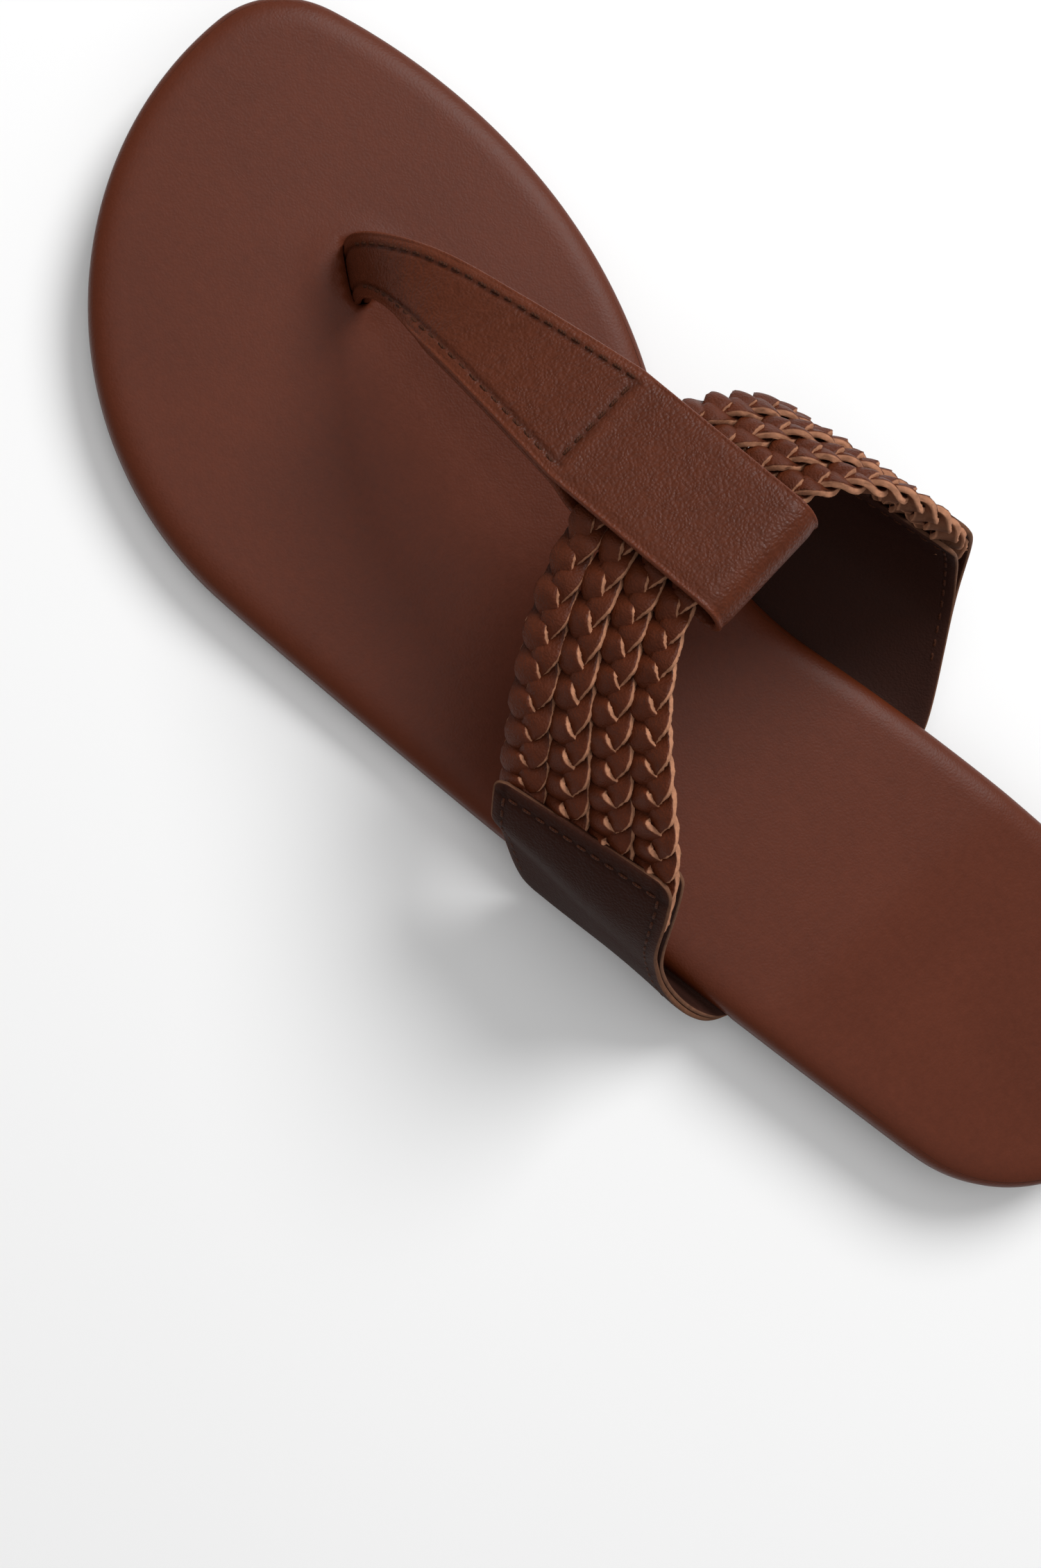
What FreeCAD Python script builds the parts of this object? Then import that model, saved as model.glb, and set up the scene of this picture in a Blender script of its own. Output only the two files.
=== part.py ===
import FreeCAD, Part
import math
import os
import Sketcher

# A left leather flip flop: a layered sole with a small heel, a folded toe thong and four plaited straps
# that run from a leather tab on one side, through the thong's sleeve, to a tab on the other side.
#
# Frame: +X points at the toe, +Y at the outer (lateral) side, +Z up. The origin lies on the floor, at
# the centre of the sandal's box. Lengths are in millimetres.

doc = FreeCAD.newDocument("FlipFlop")

SIZES = [
    ("sole_length", 250.0, "heel end to toe tip"),
    ("ball_width", 91.0, "widest part of the footbed"),
    ("ball_centre", 4.0, "middle of the ball's width, along Y"),
    ("heel_radius", 30.0, "round end of the heel"),
    ("heel_centre", -5.5, "heel circle's centre, along Y"),
    ("heel_side_radius", 500.0, "nearly straight inner side of the heel"),
    ("waist_radius", 65.0, "hollow curve of the inner waist"),
    ("waist_back", 131.0, "its centre, behind the toe tip"),
    ("inner_ball_radius", 95.0, "inner side of the ball"),
    ("inner_ball_back", 52.5, "its centre, behind the toe tip"),
    ("toe_radius", 18.2, "corner in front of the big toe"),
    ("outer_ball_radius", 64.5, "outer side of the ball and the toe's sweep"),
    ("outer_ball_back", 64.6, "its centre, behind the toe tip"),
    ("outer_side_radius", 2000.0, "nearly straight outer side"),
    ("heel_rise", 5.0, "height of the heel lift"),
    ("heel_flat_end", -66.0, "where the heel's flat ends, along X"),
    ("ball_flat_start", -2.0, "where the ball's flat starts, along X"),
    ("ball_flat_end", 72.0, "where the toe spring starts, along X"),
    ("heel_bend_radius", 60.0, "bend from the heel into the shank"),
    ("ball_bend_radius", 100.0, "bend from the shank into the ball"),
    ("toe_spring_radius", 320.0, "upward curve of the toe"),
    ("heel_breast", -69.0, "front face of the heel lift, along X"),
    ("outsole_thickness", 3.0, "rubber outsole"),
    ("board_thickness", 3.2, "insole board"),
    ("foam_thickness", 2.4, "footbed foam"),
    ("cover_thickness", 1.2, "leather of the footbed, top and sides"),
    ("outsole_inset", 0.5, "outsole edge behind the footbed edge"),
    ("rim_radius", 2.8, "rolled rim of the footbed"),
    ("tab_outer_thickness", 1.1, "outer leather of a tab"),
    ("tab_lining_thickness", 0.9, "lining of a tab"),
    ("tab_bed_clearance", 0.2, "room for a tab under the insole board"),
    ("tab_margin", 14.0, "part of a tab glued under the insole board"),
    ("tab_pocket_depth", 9.0, "length of plait held between a tab's two leathers"),
    ("slot_forward", 79.0, "toe slot's centre, along X"),
    ("slot_side", -5.0, "toe slot's centre, along Y"),
    ("slot_angle", 55.0, "turn of the strap's width at the slot, in degrees"),
    ("slot_clearance", 0.45, "room round the strap in the slot"),
    ("thong_end_width", 10.6, "width of the thong in the slot"),
    ("thong_width", 22.4, "width of the thong's sleeve"),
    ("thong_leather", 1.3, "leather of the thong"),
    ("thong_tape_thickness", 0.4, "woven tape between the thong's two layers"),
    ("thong_tape_width", 5.6, "width of that tape"),
    ("thong_yaw", 4.3, "lean of the thong's line towards the inner side, in degrees"),
    ("seam_reach", 47.0, "slot to the cross seam, along the thong's line"),
    ("seam_height", 36.4, "thong's middle at the cross seam, above the ball's footbed"),
    ("fold_reach", 76.6, "slot to the centre of the sleeve's fold"),
    ("sleeve_slope", 18.0, "rise of the sleeve towards the heel, in degrees"),
    ("sleeve_room", 6.4, "clear height inside the sleeve"),
    ("sleeve_sag", 0.45, "plaits below the middle of the sleeve where they enter it"),
    ("toe_room", 20.0, "height of the thong's first bend over the slot"),
    ("anchor_length", 26.0, "toe anchor patch, along X"),
    ("anchor_width", 17.0, "toe anchor patch, along Y"),
    ("anchor_thickness", 1.0, "toe anchor patch"),
    ("plait_count", 4, "plaits side by side"),
    ("lace_width", 2.9, "width of one lace"),
    ("lace_thickness", 0.95, "thickness of one lace"),
    ("plait_width", 7.5, "width of one plait at the tabs"),
    ("plait_sleeve_width", 5.2, "width of one plait inside the sleeve"),
    ("plait_height", 1.02, "up and down swing of a lace"),
    ("plait_period", 14.4, "length of one full turn of a lace"),
    ("thread_width", 0.5, "sewing thread"),
    ("stitch_length", 1.9, "visible part of one stitch"),
    ("stitch_pitch", 2.6, "stitch to stitch"),
    ("seam_inset", 2.0, "seam to the leather's edge"),
    ("sway_degrees", 2.5, "swing of the thong to each side"),
]

# Where the straps' band of plaits runs. Each row is one station of the band from the outer tab to the
# inner tab: the place of its rear edge, then of its front edge. A place holds its X, how far it lies in
# from the sole's edge (less than nought is outside it) and its height. Inside the sleeve the height
# follows the thong, so those two stations hold only X and Y. The two end stations lie on the sole's
# edge, so they need only their X.
STATIONS = [
    ("outer_mid", (-46.0, -3.5, 18.5), (-10.0, -0.94, 18.0)),
    ("outer_top", (-28.2, 8.94, 45.6), (1.6, 6.04, 34.2)),
    ("outer_sleeve", (1.2, 1.5), (24.2, 3.5)),
    ("inner_sleeve", (2.4, -24.0), (25.6, -21.5)),
    ("inner_top", (-20.7, -22.4, 36.4), (9.0, -17.73, 23.6)),
    ("inner_mid", (-33.0, -17.44, 16.6), (3.0, -11.8, 12.0)),
]
BASES = [("outer_base", -59.0, -21.0), ("inner_base", -46.5, -7.0)]


def fill_sheet():
    """Put every driving size in the spreadsheet, one alias each."""
    sheet = doc.addObject("Spreadsheet::Sheet", "Sizes")
    row = 1
    entries = [(alias, value, note) for alias, value, note in SIZES]
    for station, rear, front in STATIONS:
        for edge, place in (("rear", rear), ("front", front)):
            for axis, value in zip("xyz", place):
                entries.append(("%s_%s_%s" % (station, edge, axis), value, "band station"))
    for station, rear, front in BASES:
        entries.append((station + "_rear_x", rear, "tab's rear edge where it leaves the sole"))
        entries.append((station + "_front_x", front, "tab's front edge where it leaves the sole"))
    for alias, value, note in entries:
        sheet.set("A%d" % row, note)
        sheet.set("B%d" % row, str(value))
        sheet.setAlias("B%d" % row, alias)
        row += 1
    doc.recompute()
    return sheet


sheet = fill_sheet()


def size(alias):
    """Value of one size in the sheet."""
    return float(sheet.get(alias))


def station(name, edge):
    """A band station's rear or front point."""
    stem = "%s_%s_" % (name, edge)
    along, aside = size(stem + "x"), size(stem + "y")
    if name.endswith("sleeve"):
        return FreeCAD.Vector(along, aside, sleeve_middle(along, aside) - size("sleeve_sag"))
    side = 1 if name.startswith("outer") else -1
    return FreeCAD.Vector(along, edge_level(along, side) - side * aside, size(stem + "z"))


# ---------------------------------------------------------------- sole outline

def meet(first, reach_first, second, reach_second, pick):
    """The point at the two given distances from two centres; pick chooses between the two answers."""
    gap = second.sub(first)
    span = gap.Length
    along = (reach_first ** 2 - reach_second ** 2 + span ** 2) / (2 * span)
    aside = math.sqrt(reach_first ** 2 - along ** 2)
    unit = gap * (1 / span)
    normal = FreeCAD.Vector(-unit.y, unit.x, 0)
    answers = [first + unit * along + normal * (aside * sign) for sign in (1, -1)]
    return max(answers, key=pick)


def outline_circles():
    """The outline's circles in order, anticlockwise from the heel: name, centre, radius, hollow or not,
    and the sheet's expressions for the centre, or None where tangency fixes it."""
    heel_x = "-Sizes.sole_length / 2 + Sizes.heel_radius"
    waist_x = "Sizes.sole_length / 2 - Sizes.waist_back"
    inner_x = "Sizes.sole_length / 2 - Sizes.inner_ball_back"
    inner_y = "Sizes.ball_centre - Sizes.ball_width / 2 + Sizes.inner_ball_radius"
    outer_x = "Sizes.sole_length / 2 - Sizes.outer_ball_back"
    outer_y = "Sizes.ball_centre + Sizes.ball_width / 2 - Sizes.outer_ball_radius"

    toe_tip = size("sole_length") / 2
    half_width = size("ball_width") / 2
    heel = FreeCAD.Vector(-toe_tip + size("heel_radius"), size("heel_centre"), 0)
    inner = FreeCAD.Vector(toe_tip - size("inner_ball_back"),
                           size("ball_centre") - half_width + size("inner_ball_radius"), 0)
    outer = FreeCAD.Vector(toe_tip - size("outer_ball_back"),
                           size("ball_centre") + half_width - size("outer_ball_radius"), 0)
    back = toe_tip - size("waist_back") - inner.x
    waist = inner + FreeCAD.Vector(
        back, -math.sqrt((size("inner_ball_radius") + size("waist_radius")) ** 2 - back ** 2), 0)
    side = meet(heel, size("heel_side_radius") - size("heel_radius"),
                waist, size("heel_side_radius") + size("waist_radius"), lambda p: p.y)
    toe = meet(outer, size("outer_ball_radius") - size("toe_radius"),
               inner, size("inner_ball_radius") - size("toe_radius"), lambda p: p.x - p.y)
    flank = meet(outer, size("outer_side_radius") - size("outer_ball_radius"),
                 heel, size("outer_side_radius") - size("heel_radius"), lambda p: -p.y)
    return [
        ("heel_radius", heel, False, heel_x, "Sizes.heel_centre"),
        ("heel_side_radius", side, False, None, None),
        ("waist_radius", waist, True, waist_x, None),
        ("inner_ball_radius", inner, False, inner_x, inner_y),
        ("toe_radius", toe, False, None, None),
        ("outer_ball_radius", outer, False, outer_x, outer_y),
        ("outer_side_radius", flank, False, None, None),
    ]


def touch_point(circle, other, inset):
    """Where two tangent circles of the outline meet, for an outline moved in by the inset."""
    (name, centre, hollow), (other_name, other_centre, other_hollow) = circle[:3], other[:3]
    radius = size(name) + (inset if hollow else -inset)
    other_radius = size(other_name) + (inset if other_hollow else -inset)
    if hollow or other_hollow:
        return centre + (other_centre - centre).normalize() * radius
    big, small, reach = (centre, other_centre, radius) if radius > other_radius else (
        other_centre, centre, other_radius)
    return big + (small - big).normalize() * reach


def outline_arcs(inset):
    """Arcs of the outline moved in by the inset: centre, radius, first point, last point, hollow."""
    circles = outline_circles()
    arcs = []
    for place, circle in enumerate(circles):
        before = circles[place - 1]
        after = circles[(place + 1) % len(circles)]
        name, centre, hollow = circle[:3]
        radius = size(name) + (inset if hollow else -inset)
        first = touch_point(circle, before, inset)
        last = touch_point(circle, after, inset)
        arcs.append((centre, radius, first, last, hollow))
    return arcs


def bearing(centre, point):
    """Angle from a centre to a point."""
    return math.atan2(point.y - centre.y, point.x - centre.x)


def bind(sketch, constraint, expression):
    """Add a constraint and tie its value to the sheet."""
    number = sketch.addConstraint(constraint)
    sketch.setExpression("Constraints[%d]" % number, expression)


def draw_outline(sketch, inset, inset_expression):
    """The sole's outline as tangent arcs, moved in by the inset."""
    upward = FreeCAD.Vector(0, 0, 1)
    numbers = []
    for centre, radius, first, last, hollow in outline_arcs(inset):
        start, end = (last, first) if hollow else (first, last)
        circle = Part.Circle(centre, upward, radius)
        arc = Part.ArcOfCircle(circle, bearing(centre, start), bearing(centre, end))
        numbers.append(sketch.addGeometry(arc, False))
    circles = outline_circles()
    for place, number in enumerate(numbers):
        name, centre, hollow, centre_x, centre_y = circles[place]
        following = (place + 1) % len(numbers)
        leaving = 1 if hollow else 2
        entering = 2 if circles[following][2] else 1
        sketch.addConstraint(Sketcher.Constraint("Tangent", number, leaving, numbers[following], entering))
        sign = "+" if hollow else "-"
        radius = size(name) + (inset if hollow else -inset)
        bind(sketch, Sketcher.Constraint("Radius", number, radius),
             "Sizes.%s %s (%s)" % (name, sign, inset_expression))
        if centre_x:
            bind(sketch, Sketcher.Constraint("DistanceX", -1, 1, number, 3, centre.x), centre_x)
        if centre_y:
            bind(sketch, Sketcher.Constraint("DistanceY", -1, 1, number, 3, centre.y), centre_y)


def edge_level(along, side):
    """Y of the footbed's edge at one X, on the outer side (+1) or the inner side (-1)."""
    levels = []
    for centre, radius, first, last, hollow in outline_arcs(0.0):
        if abs(along - centre.x) > radius:
            continue
        reach = math.sqrt(radius ** 2 - (along - centre.x) ** 2)
        start, end = (last, first) if hollow else (first, last)
        turn = (bearing(centre, end) - bearing(centre, start)) % (2 * math.pi)
        for level in (centre.y + reach, centre.y - reach):
            place = FreeCAD.Vector(along, level, 0)
            if (bearing(centre, place) - bearing(centre, start)) % (2 * math.pi) <= turn:
                levels.append(level)
    return max(levels) if side > 0 else min(levels)


# ---------------------------------------------------------------- sole profile

def shank_angle():
    """Slope of the straight shank between the heel's bend and the ball's bend."""
    run = size("ball_flat_start") - size("heel_flat_end")
    bends = size("heel_bend_radius") + size("ball_bend_radius")
    fall = bends - size("heel_rise")
    return math.asin(bends / math.hypot(run, fall)) - math.atan2(fall, run)


def rise(along):
    """Height of the sole's underside over the floor at one X."""
    angle = shank_angle()
    heel_bend = size("heel_bend_radius")
    ball_bend = size("ball_bend_radius")
    if along < size("heel_flat_end"):
        return size("heel_rise")
    if along < size("heel_flat_end") + heel_bend * math.sin(angle):
        run = along - size("heel_flat_end")
        return size("heel_rise") - heel_bend + math.sqrt(heel_bend ** 2 - run ** 2)
    if along < size("ball_flat_start") - ball_bend * math.sin(angle):
        foot = size("ball_flat_start") - ball_bend * math.sin(angle)
        return ball_bend * (1 - math.cos(angle)) + (foot - along) * math.tan(angle)
    if along < size("ball_flat_start"):
        return ball_bend - math.sqrt(ball_bend ** 2 - (size("ball_flat_start") - along) ** 2)
    if along < size("ball_flat_end"):
        return 0.0
    spring = size("toe_spring_radius")
    return spring - math.sqrt(spring ** 2 - (along - size("ball_flat_end")) ** 2)


PROFILE_OVERHANG = 6.0


def draw_profile(sketch, low, high):
    """Side view of one layer: two copies of the sole's long curve, low and high above its underside,
    closed by upright ends beyond the heel and the toe. low and high are (value, expression)."""
    angle = shank_angle()
    reach = size("sole_length") / 2 + PROFILE_OVERHANG
    heel_bend_level = size("heel_rise") - size("heel_bend_radius")
    bends = [
        ("heel_bend_radius", "heel_flat_end", size("heel_flat_end"), heel_bend_level,
         "Sizes.heel_rise - Sizes.heel_bend_radius", 1, math.pi / 2 - angle, math.pi / 2),
        ("ball_bend_radius", "ball_flat_start", size("ball_flat_start"), size("ball_bend_radius"),
         "Sizes.ball_bend_radius", -1, 3 * math.pi / 2 - angle, 3 * math.pi / 2),
    ]
    chains = []
    for offset, offset_expression in (low, high):
        line = {}
        arcs = []
        for alias, x_alias, x, z, z_expression, way, start, end in bends:
            radius = size(alias) + way * offset
            circle = Part.Circle(FreeCAD.Vector(x, z, 0), FreeCAD.Vector(0, 0, 1), radius)
            arcs.append(sketch.addGeometry(Part.ArcOfCircle(circle, start, end), False))
        spring_centre = FreeCAD.Vector(size("ball_flat_end"), size("toe_spring_radius"), 0)
        spring_radius = size("toe_spring_radius") - offset
        spring_end = 3 * math.pi / 2 + math.asin((reach - spring_centre.x) / spring_radius)
        circle = Part.Circle(spring_centre, FreeCAD.Vector(0, 0, 1), spring_radius)
        arcs.append(sketch.addGeometry(Part.ArcOfCircle(circle, 3 * math.pi / 2, spring_end), False))
        heel_bend, ball_bend, spring = [sketch.Geometry[number] for number in arcs]
        heel_start = FreeCAD.Vector(-reach, size("heel_rise") + offset, 0)
        line["heel"] = sketch.addGeometry(Part.LineSegment(heel_start, heel_bend.EndPoint), False)
        shank = Part.LineSegment(heel_bend.StartPoint, ball_bend.StartPoint)
        line["shank"] = sketch.addGeometry(shank, False)
        line["ball"] = sketch.addGeometry(Part.LineSegment(ball_bend.EndPoint, spring.StartPoint), False)
        for first, first_end, second, second_end in (
                (line["heel"], 2, arcs[0], 2), (arcs[0], 1, line["shank"], 1),
                (line["shank"], 2, arcs[1], 1), (arcs[1], 2, line["ball"], 1), (line["ball"], 2, arcs[2], 1)):
            sketch.addConstraint(Sketcher.Constraint("Tangent", first, first_end, second, second_end))
        for number, (alias, x_alias, x, z, z_expression, way, start, end) in zip(arcs, bends):
            bind(sketch, Sketcher.Constraint("Radius", number, size(alias) + way * offset),
                 "Sizes.%s %s (%s)" % (alias, "+" if way > 0 else "-", offset_expression))
            bind(sketch, Sketcher.Constraint("DistanceX", -1, 1, number, 3, x), "Sizes." + x_alias)
            bind(sketch, Sketcher.Constraint("DistanceY", -1, 1, number, 3, z), z_expression)
        bind(sketch, Sketcher.Constraint("Radius", arcs[2], spring_radius),
             "Sizes.toe_spring_radius - (%s)" % offset_expression)
        bind(sketch, Sketcher.Constraint("DistanceX", -1, 1, arcs[2], 3, spring_centre.x),
             "Sizes.ball_flat_end")
        bind(sketch, Sketcher.Constraint("DistanceY", -1, 1, arcs[2], 3, spring_centre.y),
             "Sizes.toe_spring_radius")
        ends = "(Sizes.sole_length / 2 + %s)" % PROFILE_OVERHANG
        bind(sketch, Sketcher.Constraint("DistanceX", -1, 1, line["heel"], 1, -reach), "-" + ends)
        bind(sketch, Sketcher.Constraint("DistanceX", -1, 1, arcs[2], 2, reach), ends)
        sketch.addConstraint(Sketcher.Constraint("Horizontal", line["heel"]))
        chains.append((line["heel"], arcs[2]))
    (low_heel, low_spring), (high_heel, high_spring) = chains
    for first, first_end, second in ((low_heel, 1, high_heel), (low_spring, 2, high_spring)):
        bottom = sketch.getPoint(first, first_end)
        top = sketch.getPoint(second, first_end)
        closing = sketch.addGeometry(Part.LineSegment(bottom, top), False)
        sketch.addConstraint(Sketcher.Constraint("Coincident", first, first_end, closing, 1))
        sketch.addConstraint(Sketcher.Constraint("Coincident", second, first_end, closing, 2))


def plane(body, role):
    """One of a body's own origin planes."""
    return [feature for feature in body.Origin.OriginFeatures if feature.Role == role][0]


def new_sketch(body, name, role):
    """A sketch on one of the body's origin planes."""
    sketch = body.newObject("Sketcher::SketchObject", name)
    sketch.AttachmentSupport = [(plane(body, role), "")]
    sketch.MapMode = "FlatFace"
    return sketch


PLENTY = 150.0


def trim_to_outline(body, inset, inset_expression):
    """Cut away everything outside the sole's outline."""
    sketch = new_sketch(body, "OutlineSketch", "XY_Plane")
    draw_outline(sketch, inset, inset_expression)
    corners = [FreeCAD.Vector(x, y, 0) for x, y in ((-PLENTY, -PLENTY), (PLENTY, -PLENTY),
                                                    (PLENTY, PLENTY), (-PLENTY, PLENTY))]
    sides = []
    for place, corner in enumerate(corners):
        sides.append(sketch.addGeometry(Part.LineSegment(corner, corners[(place + 1) % 4]), False))
    for place, number in enumerate(sides):
        sketch.addConstraint(Sketcher.Constraint("Coincident", number, 2, sides[(place + 1) % 4], 1))
        sketch.addConstraint(Sketcher.Constraint("DistanceX", -1, 1, number, 1, corners[place].x))
        sketch.addConstraint(Sketcher.Constraint("DistanceY", -1, 1, number, 1, corners[place].y))
    doc.recompute()
    before = body.Shape.Volume
    trim = body.newObject("PartDesign::Pocket", "Outline")
    trim.Profile = sketch
    trim.Type = "ThroughAll"
    trim.Midplane = True
    doc.recompute()
    if trim.Shape.Volume > before * 0.99:
        raise RuntimeError("the outline cut nothing from " + body.Label)


def layer(name, low, high, inset, inset_expression):
    """One layer of the sole as a body: its side view padded across, then trimmed to the outline."""
    body = doc.addObject("PartDesign::Body", name)
    profile = new_sketch(body, "ProfileSketch", "XZ_Plane")
    draw_profile(profile, low, high)
    pad = body.newObject("PartDesign::Pad", "Across")
    pad.Profile = profile
    pad.Length = PLENTY
    pad.Midplane = True
    doc.recompute()
    if inset is not None:
        trim_to_outline(body, inset, inset_expression)
    return body


ANCHOR_CLEARANCE = 0.2
BED_END_CLEARANCE = 0.5
NOTHING = (0.0, "0")
OUTSOLE_TOP = (size("outsole_thickness"), "Sizes.outsole_thickness")
TAB_THICKNESS = size("tab_outer_thickness") + size("tab_lining_thickness")
BED_TOP = (OUTSOLE_TOP[0] + TAB_THICKNESS + size("tab_bed_clearance"),
           "Sizes.outsole_thickness + Sizes.tab_outer_thickness + Sizes.tab_lining_thickness"
           " + Sizes.tab_bed_clearance")
BOARD_TOP = (OUTSOLE_TOP[0] + size("board_thickness"), "Sizes.outsole_thickness + Sizes.board_thickness")
FOAM_TOP = (BOARD_TOP[0] + size("foam_thickness"), BOARD_TOP[1] + " + Sizes.foam_thickness")
FOOTBED_TOP = (FOAM_TOP[0] + size("cover_thickness"), FOAM_TOP[1] + " + Sizes.cover_thickness")


def box(name, low, high, turn=0.0):
    """A box between two corners, turned about the upright line through its middle."""
    item = doc.addObject("Part::Box", name)
    item.Length = high.x - low.x
    item.Width = high.y - low.y
    item.Height = high.z - low.z
    middle = (low + high) * 0.5
    rotation = FreeCAD.Rotation(FreeCAD.Vector(0, 0, 1), turn)
    item.Placement = FreeCAD.Placement(low, rotation, middle - low)
    return item


def cut(name, base, tools):
    """Base minus each tool."""
    for place, tool in enumerate(tools):
        item = doc.addObject("Part::Cut", name if place == len(tools) - 1 else name + "_step")
        item.Base = base
        item.Tool = tool
        base = item
    doc.recompute()
    return base


# ---------------------------------------------------------------- straps: shared shapes

def rectangle(middle, wide, thick, width, thickness):
    """Closed rectangle about a point, wide along one direction and thick along another."""
    across = wide * (width / 2)
    through = thick * (thickness / 2)
    corners = [middle - across - through, middle + across - through, middle + across + through,
               middle - across + through]
    return Part.makePolygon(corners + [corners[0]])


def strip(name, sections):
    """A solid through closed rectangles, with flat facets between them."""
    item = doc.addObject("Part::Feature", name)
    solid = Part.makeLoft(sections, True, True)
    if solid.Volume < 0:
        solid.reverse()
    item.Shape = solid
    return item


def smooth(value):
    """Eases from 0 to 1."""
    value = min(max(value, 0.0), 1.0)
    return value * value * (3 - 2 * value)


# ---------------------------------------------------------------- sole

def rim_edges(shape):
    """Names of the edges between the upright sides and the top of a layer."""
    names = []
    for number, edge in enumerate(shape.Edges, 1):
        slopes = []
        for face in shape.ancestorsOfType(edge, Part.Face):
            low_u, high_u, low_v, high_v = face.ParameterRange
            slopes.append(face.normalAt((low_u + high_u) / 2, (low_v + high_v) / 2).z)
        if max(slopes) > 0.9 and min(slopes, key=abs) < 0.05 and min(slopes) > -0.05:
            names.append("Edge%d" % number)
    return names


slot_long = size("thong_end_width") + 2 * size("slot_clearance")
slot_wide = 2 * size("thong_leather") + size("thong_tape_thickness") + 2 * size("slot_clearance")
slot_centre = FreeCAD.Vector(size("slot_forward"), size("slot_side"), 0)
slot_turn = size("slot_angle") + size("thong_yaw")


def slot_cutter(name):
    """A tall block the size of the toe slot."""
    half = FreeCAD.Vector(slot_wide / 2, slot_long / 2, 0)
    tall = FreeCAD.Vector(0, 0, 3 * FOOTBED_TOP[0])
    return box(name, slot_centre - half, slot_centre + half + tall, slot_turn)


def bed_block(name, station_name, side):
    """The room under the insole board, and under the cover's side, for one tab's glued margin."""
    rear = size(station_name + "_rear_x")
    front = size(station_name + "_front_x")
    edge = min(edge_level(rear, side) * side, edge_level(front, side) * side)
    inner = (edge - size("tab_margin") - 2 * BED_END_CLEARANCE) * side
    outer = PLENTY / 2 * side
    low_y, high_y = sorted((inner, outer))
    block = box(name, FreeCAD.Vector(rear - BED_END_CLEARANCE, low_y, 0),
                FreeCAD.Vector(front + BED_END_CLEARANCE, high_y, 3 * FOOTBED_TOP[0]))
    common = doc.addObject("Part::Common", name + "_bed")
    common.Base = block
    common.Tool = tab_bed
    return common


tab_bed = layer("TabBed", OUTSOLE_TOP, BED_TOP, None, None)
outer_bed = bed_block("OuterTab", "outer_base", 1)
inner_bed = bed_block("InnerTab", "inner_base", -1)

outsole = layer("OutsoleBody", NOTHING, OUTSOLE_TOP, size("outsole_inset"), "Sizes.outsole_inset")
outsole.Label = "outsole"

lift_blank = layer("HeelLiftBlank", (-size("heel_rise"), "-Sizes.heel_rise"), NOTHING,
                   size("outsole_inset"), "Sizes.outsole_inset")
breast = box("HeelBreast", FreeCAD.Vector(size("heel_breast"), -PLENTY, -PLENTY),
             FreeCAD.Vector(2 * PLENTY, PLENTY, PLENTY))
heel_lift = cut("HeelLift", lift_blank, [breast])
heel_lift.Label = "heel_lift"

wall = (size("cover_thickness"), "Sizes.cover_thickness")
board_blank = layer("BoardBlank", OUTSOLE_TOP, BOARD_TOP, *wall)
anchor_half = FreeCAD.Vector(size("anchor_length") / 2, size("anchor_width") / 2, 0)
anchor_floor = FreeCAD.Vector(0, 0, size("outsole_thickness") + rise(size("slot_forward") + anchor_half.x))
room_half = anchor_half + FreeCAD.Vector(ANCHOR_CLEARANCE, ANCHOR_CLEARANCE, 0)
room_height = FreeCAD.Vector(0, 0, anchor_floor.z + size("anchor_thickness") + ANCHOR_CLEARANCE)
anchor_room = box("AnchorRoom", slot_centre - room_half, slot_centre + room_half + room_height)
insole_board = cut("InsoleBoard", board_blank, [outer_bed, inner_bed, anchor_room, slot_cutter("BoardSlot")])
insole_board.Label = "insole_board"

foam_blank = layer("FoamBlank", BOARD_TOP, FOAM_TOP, *wall)
footbed_foam = cut("FootbedFoam", foam_blank, [slot_cutter("FoamSlot")])
footbed_foam.Label = "footbed_foam"

cover_blank = layer("CoverBlank", OUTSOLE_TOP, FOOTBED_TOP, *NOTHING)
sharp_cover = cover_blank.Tip
rim = cover_blank.newObject("PartDesign::Fillet", "Rim")
rim.Base = (sharp_cover, rim_edges(cover_blank.Shape))
rim.Radius = size("rim_radius")
rim.setExpression("Radius", "Sizes.rim_radius")
cover_core = layer("CoverCore", OUTSOLE_TOP, FOAM_TOP, *wall)
footbed_cover = cut("FootbedCover", cover_blank, [cover_core, outer_bed, inner_bed, slot_cutter("CoverSlot")])
footbed_cover.Label = "footbed_cover"

toe_anchor = box("ToeAnchor", slot_centre - anchor_half + anchor_floor,
                 slot_centre + anchor_half + anchor_floor + FreeCAD.Vector(0, 0, size("anchor_thickness")))
toe_anchor.Label = "toe_anchor"


# ---------------------------------------------------------------- thong: where it runs

yaw = math.radians(size("thong_yaw"))
heelward = FreeCAD.Vector(-math.cos(yaw), -math.sin(yaw), 0)
upward = FreeCAD.Vector(0, 0, 1)
slope = math.tan(math.radians(size("sleeve_slope")))
layer_offset = (size("thong_tape_thickness") + size("thong_leather")) / 2
seam_level = FOOTBED_TOP[0] + size("seam_height")
BEZIER_STEPS = 14
FOLD_STEPS = 10
SLEEVE_STEPS = 6
SLEEVE_CLOSING = 7.0
TAPE_SHORTFALL = 3.0
TAPE_CLEARANCE = 0.04


def sleeve_middle(along, aside):
    """Height of the middle of the sleeve's hollow over one place."""
    reach = (FreeCAD.Vector(along, aside, 0) - slot_centre).dot(heelward)
    top_leather = seam_level + layer_offset + (reach - size("seam_reach")) * slope
    return top_leather - (size("sleeve_room") + size("thong_leather")) / 2


def thong_turn(reach):
    """Turn of the thong's width about the upright line: it twists as it drops into the slot."""
    return yaw + math.radians(size("slot_angle")) * (1 - smooth(reach / (0.5 * size("seam_reach"))))


def thong_across(reach):
    """Direction of the thong's width, towards the outer side."""
    turn = thong_turn(reach)
    return FreeCAD.Vector(-math.sin(turn), math.cos(turn), 0)


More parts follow.
